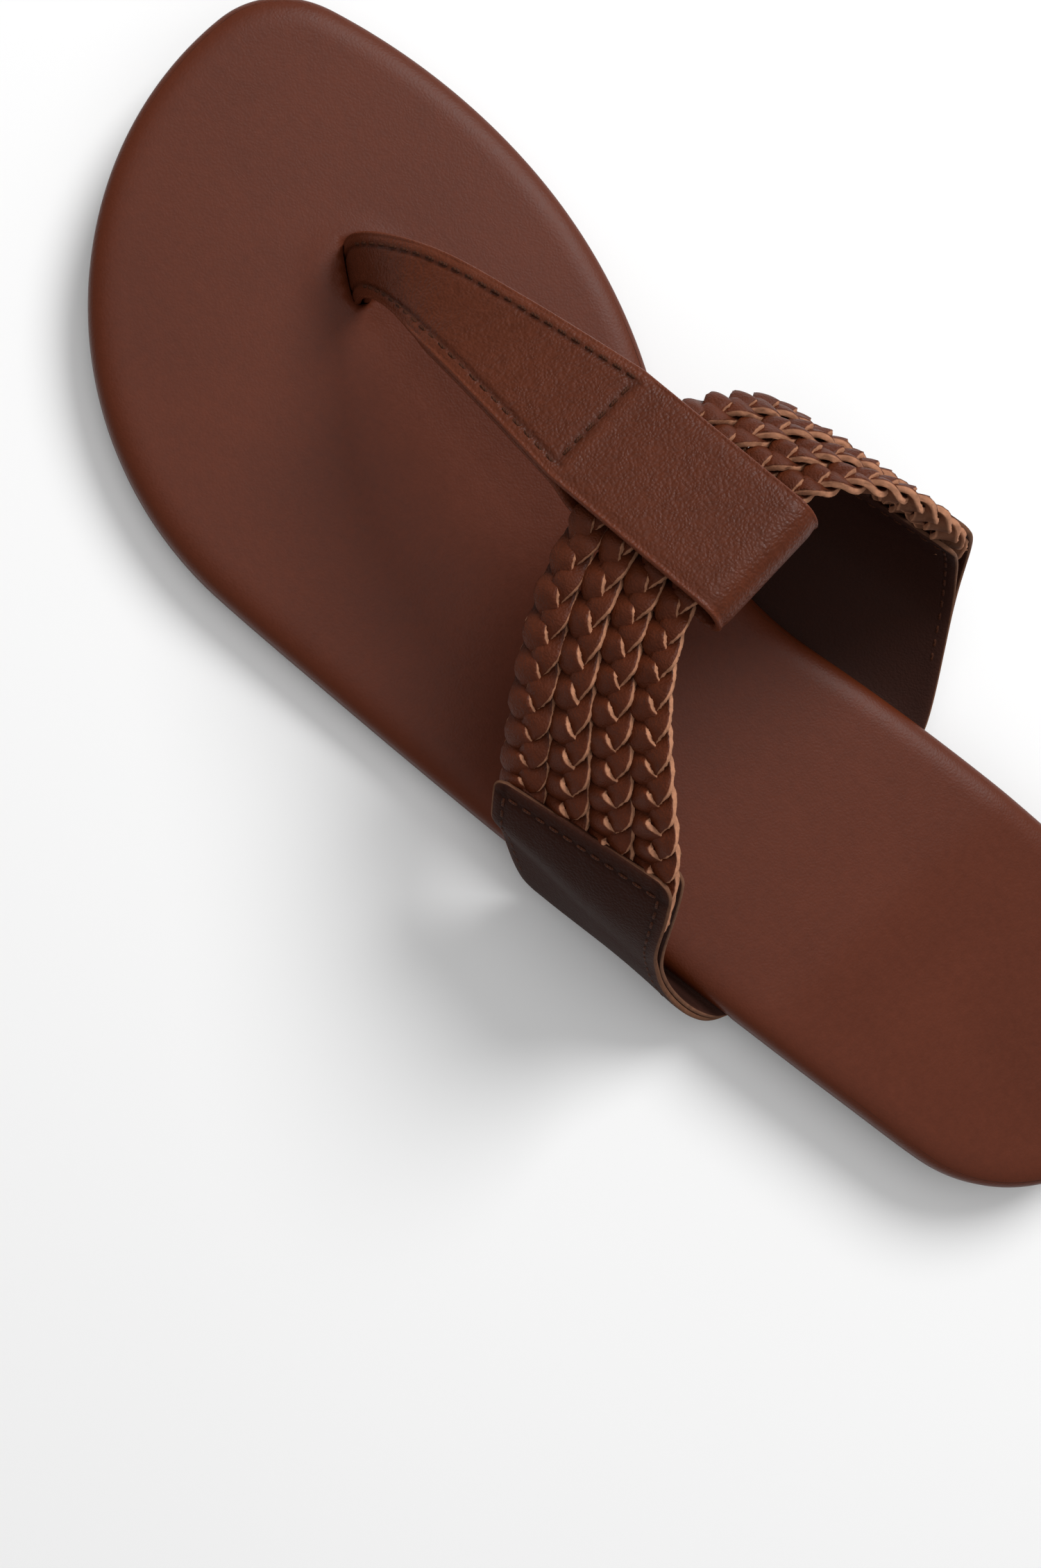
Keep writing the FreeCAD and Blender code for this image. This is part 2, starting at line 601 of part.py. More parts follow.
def thong_breadth(reach):
    """Width of the thong: even taper from the sleeve to the slot."""
    share = min(max(reach / size("seam_reach"), 0.0), 1.0)
    return size("thong_end_width") + (size("thong_width") - size("thong_end_width")) * share


def thong_point(reach, level):
    """A point on the thong's line at one reach from the slot."""
    return slot_centre + heelward * reach + upward * level


def blend(weights, handles):
    """Weighted sum of two-number handles."""
    return [sum(weight * handle[axis] for weight, handle in zip(weights, handles)) for axis in (0, 1)]


def thong_rise():
    """Side view of the thong's middle from under the board to the cross seam: reach, level and the
    direction that faces up and forward. A straight drop through the slot, then a Bezier curve."""
    low = anchor_floor.z + size("anchor_thickness") + size("slot_clearance")
    mouth = FOOTBED_TOP[0]
    seam = size("seam_reach")
    handles = [(0.0, mouth), (0.0, mouth + size("toe_room")),
               (0.5 * seam, seam_level - 0.5 * seam * slope), (seam, seam_level)]
    places = [(0.0, low, (-1.0, 0.0))]
    for step in range(BEZIER_STEPS + 1):
        part = step / BEZIER_STEPS
        rest = 1 - part
        weights = (rest ** 3, 3 * rest ** 2 * part, 3 * rest * part ** 2, part ** 3)
        slopes = (-3 * rest ** 2, 3 * rest ** 2 - 6 * rest * part,
                  6 * rest * part - 3 * part ** 2, 3 * part ** 2)
        reach, level = blend(weights, handles)
        run, climb = blend(slopes, handles)
        length = math.hypot(run, climb)
        places.append((reach, level, (-climb / length, run / length)))
    return places


def thong_middle():
    """The line between the thong's two layers, from the slot to the cross seam: point, reach, width's
    direction and the direction that faces up and forward."""
    places = []
    for reach, level, (aside, up) in thong_rise():
        across = thong_across(reach)
        run = heelward * up - upward * aside
        places.append((thong_point(reach, level), reach, across, across.cross(run).normalize()))
    return places


def thong_side(side):
    """Middle line of the top layer (+1) or the layer beneath (-1), from the slot to the cross seam."""
    return [(point + out * (side * layer_offset), reach) for point, reach, across, out in thong_middle()]


def thong_layers():
    """The folded strap's own middle line, from the top layer's end under the board, over the sleeve,
    round its fold and back beneath: (point, reach) pairs."""
    top = thong_side(1)
    under = thong_side(-1)
    seam_end = size("seam_reach")
    fold_end = size("fold_reach")
    radius = (size("sleeve_room") + size("thong_leather")) / 2
    start_level = seam_level + layer_offset
    for step in range(1, SLEEVE_STEPS + 1):
        reach = seam_end + (fold_end - seam_end) * step / SLEEVE_STEPS
        top.append((thong_point(reach, start_level + (reach - seam_end) * slope), reach))
    fold_level = start_level + (fold_end - seam_end) * slope - radius
    fold = []
    for step in range(1, FOLD_STEPS):
        angle = math.pi / 2 - math.pi * step / FOLD_STEPS
        reach = fold_end + radius * math.cos(angle)
        fold.append((thong_point(reach, fold_level + radius * math.sin(angle)), reach))
    beneath = []
    under_level = seam_level - layer_offset
    for step in range(2 * SLEEVE_STEPS):
        reach = fold_end + (seam_end - fold_end) * step / (2 * SLEEVE_STEPS)
        open_level = start_level + (reach - seam_end) * slope - 2 * radius
        closed_level = under_level + (reach - seam_end) * slope
        share = smooth((reach - seam_end) / SLEEVE_CLOSING)
        beneath.append((thong_point(reach, closed_level + (open_level - closed_level) * share), reach))
    return top + fold + beneath + under[::-1]


def strap_sections(places, thickness, breadth):
    """Rectangles across a strap that follows (point, reach) places."""
    sections = []
    for number, (point, reach) in enumerate(places):
        before = places[max(number - 1, 0)][0]
        after = places[min(number + 1, len(places) - 1)][0]
        across = thong_across(reach)
        out = across.cross(after - before).normalize()
        sections.append(rectangle(point, across, out, breadth(reach), thickness))
    return sections


# ---------------------------------------------------------------- band of plaits: where it runs

STATION_PLACES = [0.0, 0.10, 0.28, 0.50, 0.62, 0.82, 0.93, 1.0]
OUTER_TOP, INNER_TOP = STATION_PLACES[2], STATION_PLACES[5]
SLEEVE_PLACE = (STATION_PLACES[3] + STATION_PLACES[4]) / 2
END_PULL = 130.0
TAB_STEPS = 18
TAB_GAP = 0.03
PLAIT_STEPS = 7
SEAM_STEPS = 24


def base_point(name, edge, side):
    """Where a tab's rear or front edge passes the sole's edge, in the middle of its two leathers."""
    along = size("%s_%s_x" % (name, edge))
    height = rise(along) + OUTSOLE_TOP[0] + size("tab_outer_thickness") + size("tab_bed_clearance") / 2
    return FreeCAD.Vector(along, edge_level(along, side), height)


def band_edge(edge):
    """Smooth curve along the band's rear or front edge, from the outer base to the inner base."""
    points = [base_point("outer_base", edge, 1)]
    points += [station(name, edge) for name, rear, front in STATIONS]
    points.append(base_point("inner_base", edge, -1))
    start = FreeCAD.Vector(0.25, 1, 0)
    end = FreeCAD.Vector(-0.25, 1, 0)
    curve = Part.BSplineCurve()
    curve.interpolate(Points=points, Parameters=STATION_PLACES, InitialTangent=start * END_PULL,
                      FinalTangent=end * END_PULL, Scale=False)
    return curve


rear_curve = band_edge("rear")
front_curve = band_edge("front")


def band_frame(place, share):
    """Point on the band, with its forward-across, along and outward directions. place runs 0 to 1 from
    the outer side to the inner side, share 0 to 1 from the rear edge to the front edge."""
    rear = rear_curve.value(place)
    front = front_curve.value(place)
    point = rear + (front - rear) * share
    rear_run = rear_curve.tangent(place)[0]
    front_run = front_curve.tangent(place)[0]
    run = (rear_run + (front_run - rear_run) * share).normalize()
    across = (front - rear).normalize()
    outward = run.cross(across).normalize()
    across = outward.cross(run).normalize()
    return point, across, run, outward


def band_length(start, end, share=0.5, steps=40):
    """Length of the band between two places."""
    total = 0.0
    last = band_frame(start, share)[0]
    for step in range(1, steps + 1):
        point = band_frame(start + (end - start) * step / steps, share)[0]
        total += (point - last).Length
        last = point
    return total


def place_before(top, distance, way):
    """The place on the band a given distance below a tab's top, way -1 outer side, +1 inner side."""
    step = 0.002 * way
    place = top
    travelled = 0.0
    last = band_frame(place, 0.5)[0]
    while travelled < distance:
        place += step
        point = band_frame(place, 0.5)[0]
        travelled += (point - last).Length
        last = point
    return place


def tab_gap(place, top, way):
    """Half the space between a tab's two leathers: closed at the sole, open round the plaits' ends."""
    room = size("plait_height") + size("lace_thickness") / 2 + 0.25
    pocket = abs(place_before(top, size("tab_pocket_depth") + 0.5, way) - top)
    closing = pocket * 0.7
    return TAB_GAP + (room - TAB_GAP) * smooth((pocket + closing - abs(place - top)) / closing)


def tab_sections(side, top, base, start, thickness):
    """Sections of one leather of a tab, from the end of its glued margin to its top edge. start is its
    nearer face's distance from the tab's middle, at both sides of it."""
    sections = []
    for step in range(TAB_STEPS + 1):
        place = base + (top - base) * (step / TAB_STEPS) ** 1.2
        gap = tab_gap(place, top, -side)
        outward = band_frame(place, 0.5)[3]
        near = outward * ((gap if start > 0 else -gap))
        far = near + outward * (thickness if start > 0 else -thickness)
        rear, front = rear_curve.value(place), front_curve.value(place)
        corners = [rear + near, front + near, front + far, rear + far]
        sections.append(corners)
    inward = FreeCAD.Vector(0, -side * size("tab_margin"), 0)
    sections.insert(0, [corner + inward for corner in sections[0]])
    return [Part.makePolygon(corners + [corners[0]]) for corners in sections]


def add_tab(name, side, top, base):
    """The outer leather and the lining of one tab."""
    for label, start, thickness in (("outer", 1, size("tab_outer_thickness")),
                                    ("lining", -1, size("tab_lining_thickness"))):
        item = strip(name + "_" + label, tab_sections(side, top, base, start, thickness))
        item.Label = "%s_tab_%s" % (name, label)


def lace_points(plait, lace):
    """Middle line of one lace of a plait, with the band's directions there. The lace swings from side to
    side once in each turn and up and down twice, a third of a turn after the lace before it."""
    count = int(size("plait_count"))
    share = 1 - (plait + 0.5) / count
    start = place_before(OUTER_TOP, size("tab_pocket_depth"), -1)
    end = place_before(INNER_TOP, size("tab_pocket_depth"), 1)
    turns = max(round(band_length(start, end, share) / size("plait_period")), 1)
    steps = turns * PLAIT_STEPS
    points = []
    for step in range(steps + 1):
        part = step / steps
        place = start + (end - start) * part
        point, across, run, outward = band_frame(place, share)
        nearness = smooth(1 - (abs(place - SLEEVE_PLACE) - 0.07) / 0.14)
        squeezed = size("plait_width") - (size("plait_width") - size("plait_sleeve_width")) * nearness
        reach = (squeezed - size("lace_width")) / 2
        angle = 2 * math.pi * (turns * part + lace / 3)
        sideways = across * (reach * math.sin(angle))
        lift = outward * (size("plait_height") * math.sin(2 * angle))
        points.append((point + sideways + lift, across, run, outward))
    return points


def add_lace(plait, lace):
    """One lace as a flat strip along its middle line."""
    points = lace_points(plait, lace)
    sections = []
    for number, (point, across, run, outward) in enumerate(points):
        before = points[max(number - 1, 0)][0]
        after = points[min(number + 1, len(points) - 1)][0]
        path = (after - before).normalize()
        wide = outward.cross(path).normalize()
        sections.append(rectangle(point, wide, outward, size("lace_width"), size("lace_thickness")))
    item = strip("Lace", sections)
    item.Label = "plait_%d_lace_%s" % (plait + 1, "abc"[lace])


def stitch(point, along, outward, depth):
    """One stitch: a flat block through the leathers."""
    across = outward.cross(along).normalize()
    along = across.cross(outward).normalize()
    foot = point - outward * (depth / 2)
    face = rectangle(foot, along, across, size("stitch_length"), size("thread_width"))
    return Part.Face(face).extrude(outward * depth)


def add_stitches(label, rows):
    """Separate stitches, each at its place and with its depth."""
    item = doc.addObject("Part::Feature", "Stitches")
    item.Shape = Part.makeCompound([stitch(*place, depth) for place, depth in rows])
    item.Label = label


def row_of(points):
    """Stitch places along a polyline of (point, outward), one pitch apart."""
    places = []
    travelled = 0.0
    wanted = size("stitch_pitch") / 2
    for (point, outward), (following, next_outward) in zip(points, points[1:]):
        gap = (following - point).Length
        while wanted <= travelled + gap:
            share = (wanted - travelled) / gap
            place = point + (following - point) * share
            places.append((place, (following - point).normalize(), outward))
            wanted += size("stitch_pitch")
        travelled += gap
    return places


thong_strap = strip("ThongStrap", strap_sections(thong_layers(), size("thong_leather"), thong_breadth))
thong_strap.Label = "thong_strap"
tape_end = size("seam_reach") - TAPE_SHORTFALL
tape_places = [(point, reach) for point, reach, across, out in thong_middle() if reach < tape_end]
thong_tape = strip("ThongTape", strap_sections(tape_places, size("thong_tape_thickness") - TAPE_CLEARANCE,
                                               lambda reach: size("thong_tape_width")))
thong_tape.Label = "thong_tape"


def thong_seam():
    """Stitch places of the thong: both edges from the slot to the cross seam, and the cross seam."""
    rows = []
    places = [place for place in thong_middle() if place[1] > 0.03 * size("seam_reach")]
    for side in (1, -1):
        line = []
        for point, reach, across, out in places:
            line.append((point + across * (side * (thong_breadth(reach) / 2 - size("seam_inset"))), out))
        rows += row_of(line)
    point, reach, across, out = places[-1]
    half = thong_breadth(reach) / 2 - size("seam_inset") - size("stitch_pitch") / 2
    return rows + row_of([(point - across * half, out), (point + across * half, out)])


sandwich = 2 * size("thong_leather") + size("thong_tape_thickness")
add_stitches("thong_stitching", [(place, sandwich + 0.3) for place in thong_seam()])

add_tab("outer_side", 1, OUTER_TOP, 0.0)
add_tab("inner_side", -1, INNER_TOP, 1.0)


def tab_seam(top, base, way):
    """Stitch places of a tab: just under its top edge, and down its rear and front edges."""
    skin = size("tab_outer_thickness") + size("tab_lining_thickness") + 0.3
    under_top = place_before(top, size("seam_inset") + 0.6, way)
    ends = (0.055, 0.945)
    line = []
    for step in range(SEAM_STEPS + 1):
        share = ends[0] + (ends[1] - ends[0]) * step / SEAM_STEPS
        line.append((band_frame(under_top, share)[0], band_frame(under_top, share)[3]))
    depth = skin + 2 * tab_gap(under_top, top, way)
    rows = [(place, depth) for place in row_of(line)]
    low = place_before(top, 0.72 * abs(band_length(base, top)), way)
    for share in ends:
        line = []
        for step in range(SEAM_STEPS + 1):
            place = low + (under_top - low) * step / SEAM_STEPS
            point, across, run, outward = band_frame(place, share)
            line.append((point, outward))
        for (point, along, outward) in row_of(line):
            closest = min(range(SEAM_STEPS + 1), key=lambda step: (line[step][0] - point).Length)
            place = low + (under_top - low) * closest / SEAM_STEPS
            rows.append(((point, along, outward), skin + 2 * tab_gap(place, top, way)))
    return rows


add_stitches("outer_side_tab_stitching", tab_seam(OUTER_TOP, 0.0, -1))
add_stitches("inner_side_tab_stitching", tab_seam(INNER_TOP, 1.0, 1))

for plait in range(int(size("plait_count"))):
    for lace in range(3):
        add_lace(plait, lace)

NODES = ["outsole", "heel_lift", "insole_board", "footbed_foam", "footbed_cover", "toe_anchor",
         "thong_strap", "thong_tape", "thong_stitching"]
for side in ("outer", "inner"):
    NODES += ["%s_side_tab_%s" % (side, piece) for piece in ("outer", "lining", "stitching")]
for plait in range(int(size("plait_count"))):
    NODES += ["plait_%d_lace_%s" % (plait + 1, lace) for lace in "abc"]

doc.recompute()
for item in doc.Objects:
    if "Invalid" in item.State or "Error" in item.State:
        raise RuntimeError("%s failed: %s" % (item.Label, item.State))
os.makedirs("parts", exist_ok=True)
for node in NODES:
    shape = doc.getObjectsByLabel(node)[0].Shape
    if shape.isNull() or not shape.isValid() or shape.Volume <= 0:
        raise RuntimeError(node + " is not a sound solid")
    shape.exportStep("parts/%s.step" % node)
    print("%-28s %10.1f mm3  %3d solids" % (node, shape.Volume, len(shape.Solids)))
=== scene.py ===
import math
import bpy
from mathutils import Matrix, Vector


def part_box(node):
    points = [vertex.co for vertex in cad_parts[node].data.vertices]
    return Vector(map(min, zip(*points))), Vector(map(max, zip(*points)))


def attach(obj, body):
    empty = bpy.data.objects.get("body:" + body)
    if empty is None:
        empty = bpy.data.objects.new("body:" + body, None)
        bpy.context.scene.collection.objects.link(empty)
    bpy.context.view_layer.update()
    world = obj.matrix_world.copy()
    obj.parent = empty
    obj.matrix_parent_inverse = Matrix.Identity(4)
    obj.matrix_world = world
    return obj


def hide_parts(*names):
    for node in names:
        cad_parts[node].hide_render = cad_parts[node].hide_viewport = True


bl_info = {
    "name": "Plaited Flip Flop",
    "version": (1, 0, 0),
    "blender": (4, 5, 0),
    "location": "View3D > Sidebar > Flip Flop",
    "description": "Dresses the packed flip flop: footbed, thong, plaits, tabs, seams and studio",
    "category": "Object",
}

import bmesh
import bpy
import numpy as np
from mathutils import Euler, Vector
from mathutils.geometry import delaunay_2d_cdt

# Lengths are in metres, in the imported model's own frame: +X to the toe, +Y to the outer side, +Z up.

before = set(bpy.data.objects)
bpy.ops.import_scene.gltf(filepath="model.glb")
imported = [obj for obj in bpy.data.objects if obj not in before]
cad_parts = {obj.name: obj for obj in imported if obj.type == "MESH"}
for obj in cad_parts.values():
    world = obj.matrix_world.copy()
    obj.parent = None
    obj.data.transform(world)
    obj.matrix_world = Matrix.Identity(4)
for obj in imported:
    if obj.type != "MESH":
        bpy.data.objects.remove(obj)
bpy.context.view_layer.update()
MM = 0.001
BODY = "sandal"
THONG_BODY = "thong"


# ---------------------------------------------------------------- sizes and colours a user may change

def length(name, description, millimetres):
    """A length property with its default in millimetres."""
    return bpy.props.FloatProperty(name=name, description=description, default=millimetres * MM, precision=5,
                                   unit="LENGTH", subtype="DISTANCE")


def angle(name, description, degrees):
    """An angle property with its default in degrees."""
    return bpy.props.FloatProperty(name=name, description=description, default=math.radians(degrees),
                                   subtype="ANGLE")


def colour(name, description, red, green, blue):
    """A colour property, from the 0 to 255 values that a paint chart gives."""
    def linear(value):
        share = value / 255
        return share / 12.92 if share <= 0.04045 else ((share + 0.055) / 1.055) ** 2.4
    return bpy.props.FloatVectorProperty(name=name, description=description, size=3, subtype="COLOR", min=0.0,
                                         max=1.0, default=(linear(red), linear(green), linear(blue)))


class SoleSizes(bpy.types.PropertyGroup):
    heel_rise: length("Heel rise", "Height of the heel lift", 5.0)
    heel_flat_end: length("Heel flat's end", "Where the heel's flat ends, along X", -66.0)
    ball_flat_start: length("Ball flat's start", "Where the ball's flat starts, along X", -2.0)
    ball_flat_end: length("Ball flat's end", "Where the toe spring starts, along X", 72.0)
    heel_bend: length("Heel bend", "Radius of the bend from the heel into the shank", 60.0)
    ball_bend: length("Ball bend", "Radius of the bend from the shank into the ball", 100.0)
    toe_spring: length("Toe spring", "Radius of the toe's upward curve", 320.0)
    outsole: length("Outsole", "Thickness of the outsole", 3.0)
    bed: length("Tab bed", "Height of the gap that a tab's margin lies in", 2.2)
    footbed: length("Footbed", "Top of the footbed over the sole's underside", 9.8)
    leather: length("Footbed leather", "Thickness of the footbed's cover", 1.2)
    rim: length("Rim", "Radius of the rolled rim", 2.8)
    inset: length("Outsole inset", "Outsole's edge behind the footbed's edge", 0.5)
    slot_length: length("Slot length", "Toe slot's length", 10.9)
    slot_width: length("Slot width", "Toe slot's width", 3.4)
    dish: length("Footbed's dish", "Depth of the hollow that the foot has pressed", 0.7)


class ThongSizes(bpy.types.PropertyGroup):
    end_width: length("End width", "Width in the toe slot", 10.6)
    width: length("Sleeve width", "Width of the sleeve", 22.4)
    leather: length("Leather", "Thickness of the leather", 1.3)
    tape: length("Tape", "Thickness of the tape between the two layers", 0.4)
    seam_reach: length("Seam's reach", "Slot to the cross seam", 47.0)
    seam_height: length("Seam's height", "Thong's middle at the cross seam, over the ball's footbed", 36.4)
    fold_reach: length("Fold's reach", "Slot to the sleeve's fold", 76.6)
    sleeve_room: length("Sleeve room", "Clear height inside the sleeve", 6.4)
    sag: length("Sag", "Plaits below the middle of the sleeve where they enter it", 0.52)
    toe_room: length("Toe room", "Height of the first bend over the slot", 20.0)
    closing: length("Closing", "Length over which the sleeve closes at the cross seam", 7.0)
    slot_angle: angle("Slot angle", "Turn of the strap's width at the slot", 55.0)
    yaw: angle("Yaw", "Lean of the thong towards the inner side", 4.3)
    slope: angle("Sleeve slope", "Rise of the sleeve towards the heel", 18.0)


class PlaitSizes(bpy.types.PropertyGroup):
    count: bpy.props.IntProperty(name="Plaits", description="Plaits side by side", default=4, min=1, max=4)
    lace_width: length("Lace width", "Width of one lace on its face", 4.7)
    lace_leather: length("Lace leather", "Thickness of one lace", 1.15)
    snug: bpy.props.FloatProperty(name="Snug", description="Width of a plait over its share of the band",
                                  default=1.07, min=0.5, max=1.5, subtype="FACTOR")
    height: length("Height", "Up and down swing of a lace", 0.92)
    period: length("Period", "Length of one full turn of a lace", 14.4)
    tilt: angle("Tilt", "Lift of each lace's front edge over the next lace", 9.0)
    roll: angle("Roll", "Turn of each lace that lifts its rear edge", 24.0)


class TabSizes(bpy.types.PropertyGroup):
    outer: length("Outer leather", "Thickness of a tab's outer leather", 1.1)
    lining: length("Lining", "Thickness of a tab's lining", 0.9)
    margin: length("Margin", "Part of a tab glued under the insole board", 14.0)
    pocket: length("Pocket", "Length of plait held between a tab's leathers", 9.0)


class SeamSizes(bpy.types.PropertyGroup):
    inset: length("Inset", "Seam to the leather's edge", 2.0)
    pitch: length("Pitch", "Stitch to stitch", 2.6)
    stitch: length("Stitch", "Visible part of one stitch", 1.9)
    thread: length("Thread", "Width of the thread", 0.5)


class Colours(bpy.types.PropertyGroup):
    footbed: colour("Footbed", "Smooth footbed leather", 88, 41, 25)
    rim: colour("Rim", "Footbed leather where it rolls over the edge", 84, 35, 14)
    strap: colour("Thong", "Grained strap leather", 80, 36, 18)
    lace: colour("Lace face", "Face of the laces", 80, 35, 16)
    raw: colour("Raw edge", "Cut edge of the laces", 182, 128, 98)
    tab: colour("Tab", "Tab leather", 44, 19, 10)
    lining: colour("Lining", "Tab lining", 44, 20, 12)
    thread: colour("Thread", "Sewing thread", 66, 33, 17)
    sole: colour("Outsole", "Outsole and heel lift", 42, 24, 17)
    floor: colour("Floor", "Studio floor", 246, 246, 246)


# ---------------------------------------------------------------- curves

def unit(vectors):
    """Vectors divided by their own lengths."""
    return vectors / np.maximum(np.linalg.norm(vectors, axis=-1, keepdims=True), 1e-12)


def smooth(value):
    """Eases from 0 to 1: three squares less two cubes."""
    value = np.clip(value, 0.0, 1.0)
    return value * value * (3 - 2 * value)


def bell(distance, width):
    """One at distance 0, falling off as a Gaussian of that width."""
    return np.exp(-(distance / width) ** 2)


class Spline:
    """Cubic curve through points at given places, with one slope and one curvature at each, either
    clamped to an end slope at both ends or closed on itself."""

    def __init__(self, places, points, ends=None):
        self.places = np.asarray(places, float)
        self.points = np.asarray(points, float)
        gaps = np.diff(self.places)[:, None]
        rises = np.diff(self.points, axis=0)
        count = len(self.places)
        matrix = np.zeros((count, count))
        right = np.zeros_like(self.points)
        inner = np.arange(1, count - 1)
        steps = gaps[:, 0]
        matrix[inner, inner - 1] = 1 / steps[:-1]
        matrix[inner, inner] = 2 / steps[:-1] + 2 / steps[1:]
        matrix[inner, inner + 1] = 1 / steps[1:]
        right[inner] = 3 * (rises[:-1] / gaps[:-1] ** 2 + rises[1:] / gaps[1:] ** 2)
        if ends is None:
            matrix[0, [0, 1, count - 2]] = 2 / steps[-1] + 2 / steps[0], 1 / steps[0], 1 / steps[-1]
            right[0] = 3 * (rises[-1] / gaps[-1] ** 2 + rises[0] / gaps[0] ** 2)
            matrix[-1, [0, count - 1]] = -1, 1
        else:
            matrix[0, 0] = matrix[-1, -1] = 1
            right[0], right[-1] = ends
        self.slopes = np.linalg.solve(matrix, right)

    def parts(self, place):
        """Piece number, share along it and length of it, for each place."""
        number = np.clip(np.searchsorted(self.places, place, side="right") - 1, 0, len(self.places) - 2)
        gap = self.places[number + 1] - self.places[number]
        return number, ((place - self.places[number]) / gap)[..., None], gap[..., None]

    def value(self, place):
        """Hermite blend of each piece's two points and two slopes."""
        number, share, gap = self.parts(np.asarray(place, float))
        square, cube = share ** 2, share ** 3
        return ((2 * cube - 3 * square + 1) * self.points[number]
                + (cube - 2 * square + share) * gap * self.slopes[number]
                + (3 * square - 2 * cube) * self.points[number + 1]
                + (cube - square) * gap * self.slopes[number + 1])

    def slope(self, place):
        """Derivative of the same blend."""
        number, share, gap = self.parts(np.asarray(place, float))
        square = share ** 2
        rise = (self.points[number + 1] - self.points[number]) / gap
        return ((6 * share - 6 * square) * rise + (3 * square - 4 * share + 1) * self.slopes[number]
                + (3 * square - 2 * share) * self.slopes[number + 1])


def travelled(points):
    """Distance along a line of points, from its first one."""
    return np.concatenate(([0.0], np.cumsum(np.linalg.norm(np.diff(points, axis=0), axis=1))))


def pick(wanted, distance, rows):
    """Rows of numbers read off at the wanted distances."""
    return np.stack([np.interp(wanted, distance, column) for column in rows.T], 1)


def soften(values, times):
    """Averages each row of values with its neighbours, again and again; the two ends stay."""
    for _ in range(times):
        inner = (values[:-2] + 2 * values[1:-1] + values[2:]) / 4
        values = np.concatenate((values[:1], inner, values[-1:]))
    return values


# ---------------------------------------------------------------- meshes

def grid_faces(rows, columns):
    """Four-cornered faces between neighbouring rows of a grid whose columns go right round."""
    row, column = np.arange(rows - 1)[:, None], np.arange(columns)[None, :]
    following = (column + 1) % columns
    corners = [row * columns + column, row * columns + following,
               (row + 1) * columns + following, (row + 1) * columns + column]
    return np.stack(corners, -1).reshape(-1, 4)


def tube_faces(rows, columns):
    """Faces of a closed tube of loops, whose ends meet in the two points that come after the grid's."""
    ring = np.arange(columns)
    following = (ring + 1) % columns
    last_row, middle = (rows - 1) * columns, np.full(columns, rows * columns)
    first = np.stack((following, ring, middle), 1)
    last = np.stack((last_row + ring, last_row + following, middle + 1), 1)
    return grid_faces(rows, columns).tolist() + first.tolist() + last.tolist()


def build(name, points, faces, marks=None):
    """A smooth mesh object from points and faces, with one number per point for each named mark. Its
    normals are turned outwards."""
    mesh = bpy.data.meshes.new(name)
    mesh.from_pydata(np.asarray(points, float).reshape(-1, 3).tolist(), [], faces)
    for mark, values in (marks or {}).items():
        attribute = mesh.attributes.new(mark, "FLOAT", "POINT")
        attribute.data.foreach_set("value", np.asarray(values, np.float32).reshape(-1))
    work = bmesh.new()
    work.from_mesh(mesh)
    bmesh.ops.recalc_face_normals(work, faces=work.faces)
    work.to_mesh(mesh)
    work.free()
    mesh.polygons.foreach_set("use_smooth", np.ones(len(mesh.polygons), bool))
    piece = bpy.data.objects.new(name, mesh)
    bpy.context.scene.collection.objects.link(piece)
    return piece


def tube(name, grid, marks):
    """A closed tube: each row of the grid is a loop, and both ends are closed by a point in their middle."""
    points = np.concatenate((grid.reshape(-1, 3), grid[0].mean(0)[None], grid[-1].mean(0)[None]))
    full_marks = {mark: np.concatenate((values.reshape(-1), [values[0].mean(), values[-1].mean()]))
                  for mark, values in marks.items()}
    return build(name, points, tube_faces(*grid.shape[:2]), full_marks)


def paint(piece, material):
    """Gives a piece, or a CAD node that stays in view, its one material."""
    piece.data.materials.clear()
    piece.data.materials.append(bpy.data.materials[material])


def dress(piece, body, material, node):
    """Gives a piece its material and its body, and hides the CAD node that it stands for."""
    paint(piece, material)
    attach(piece, body)
    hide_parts(node)


# ---------------------------------------------------------------- node groups and materials

def add_node(tree, kind, inputs, **settings):
    """Outputs of a new shader node. An input given as a socket is linked, and any other is set."""
    node = tree.nodes.new("ShaderNode" + kind)
    for key, value in settings.items():
        setattr(node, key, value)
    for key, value in inputs.items():
        if isinstance(value, bpy.types.NodeSocket):
            tree.links.new(value, node.inputs[key])
        else:
            node.inputs[key].default_value = value
    return node.outputs


def calculate(tree, operation, first, second):
    """One sum on two numbers."""
    return add_node(tree, "Math", {0: first, 1: second}, operation=operation)[0]


def scaled(tree, vector, gain):
    """A vector or colour times a number."""
    return add_node(tree, "VectorMath", {0: vector, "Scale": gain}, operation="SCALE")[0]


def mixed(tree, factor, first, second):
    """A number between two others."""
    return add_node(tree, "Mix", {"Factor": factor, 2: first, 3: second})[0]


def mixed_colour(tree, factor, first, second):
    """A colour between two others."""
    return add_node(tree, "Mix", {"Factor": factor, 6: first, 7: second}, data_type="RGBA")[2]


def noise(tree, vector, scale, detail, roughness=0.5, distortion=0.0):
    """Outputs of a noise texture."""
    return add_node(tree, "TexNoise", {"Vector": vector, "Scale": scale, "Detail": detail,
                                       "Roughness": roughness, "Distortion": distortion})


def group_node(tree, name, **inputs):
    """Outputs of a shared node group placed in a material; an underscore stands for a space."""
    return add_node(tree, "Group", {key.replace("_", " "): value for key, value in inputs.items()},
                    node_tree=bpy.data.node_groups[name])


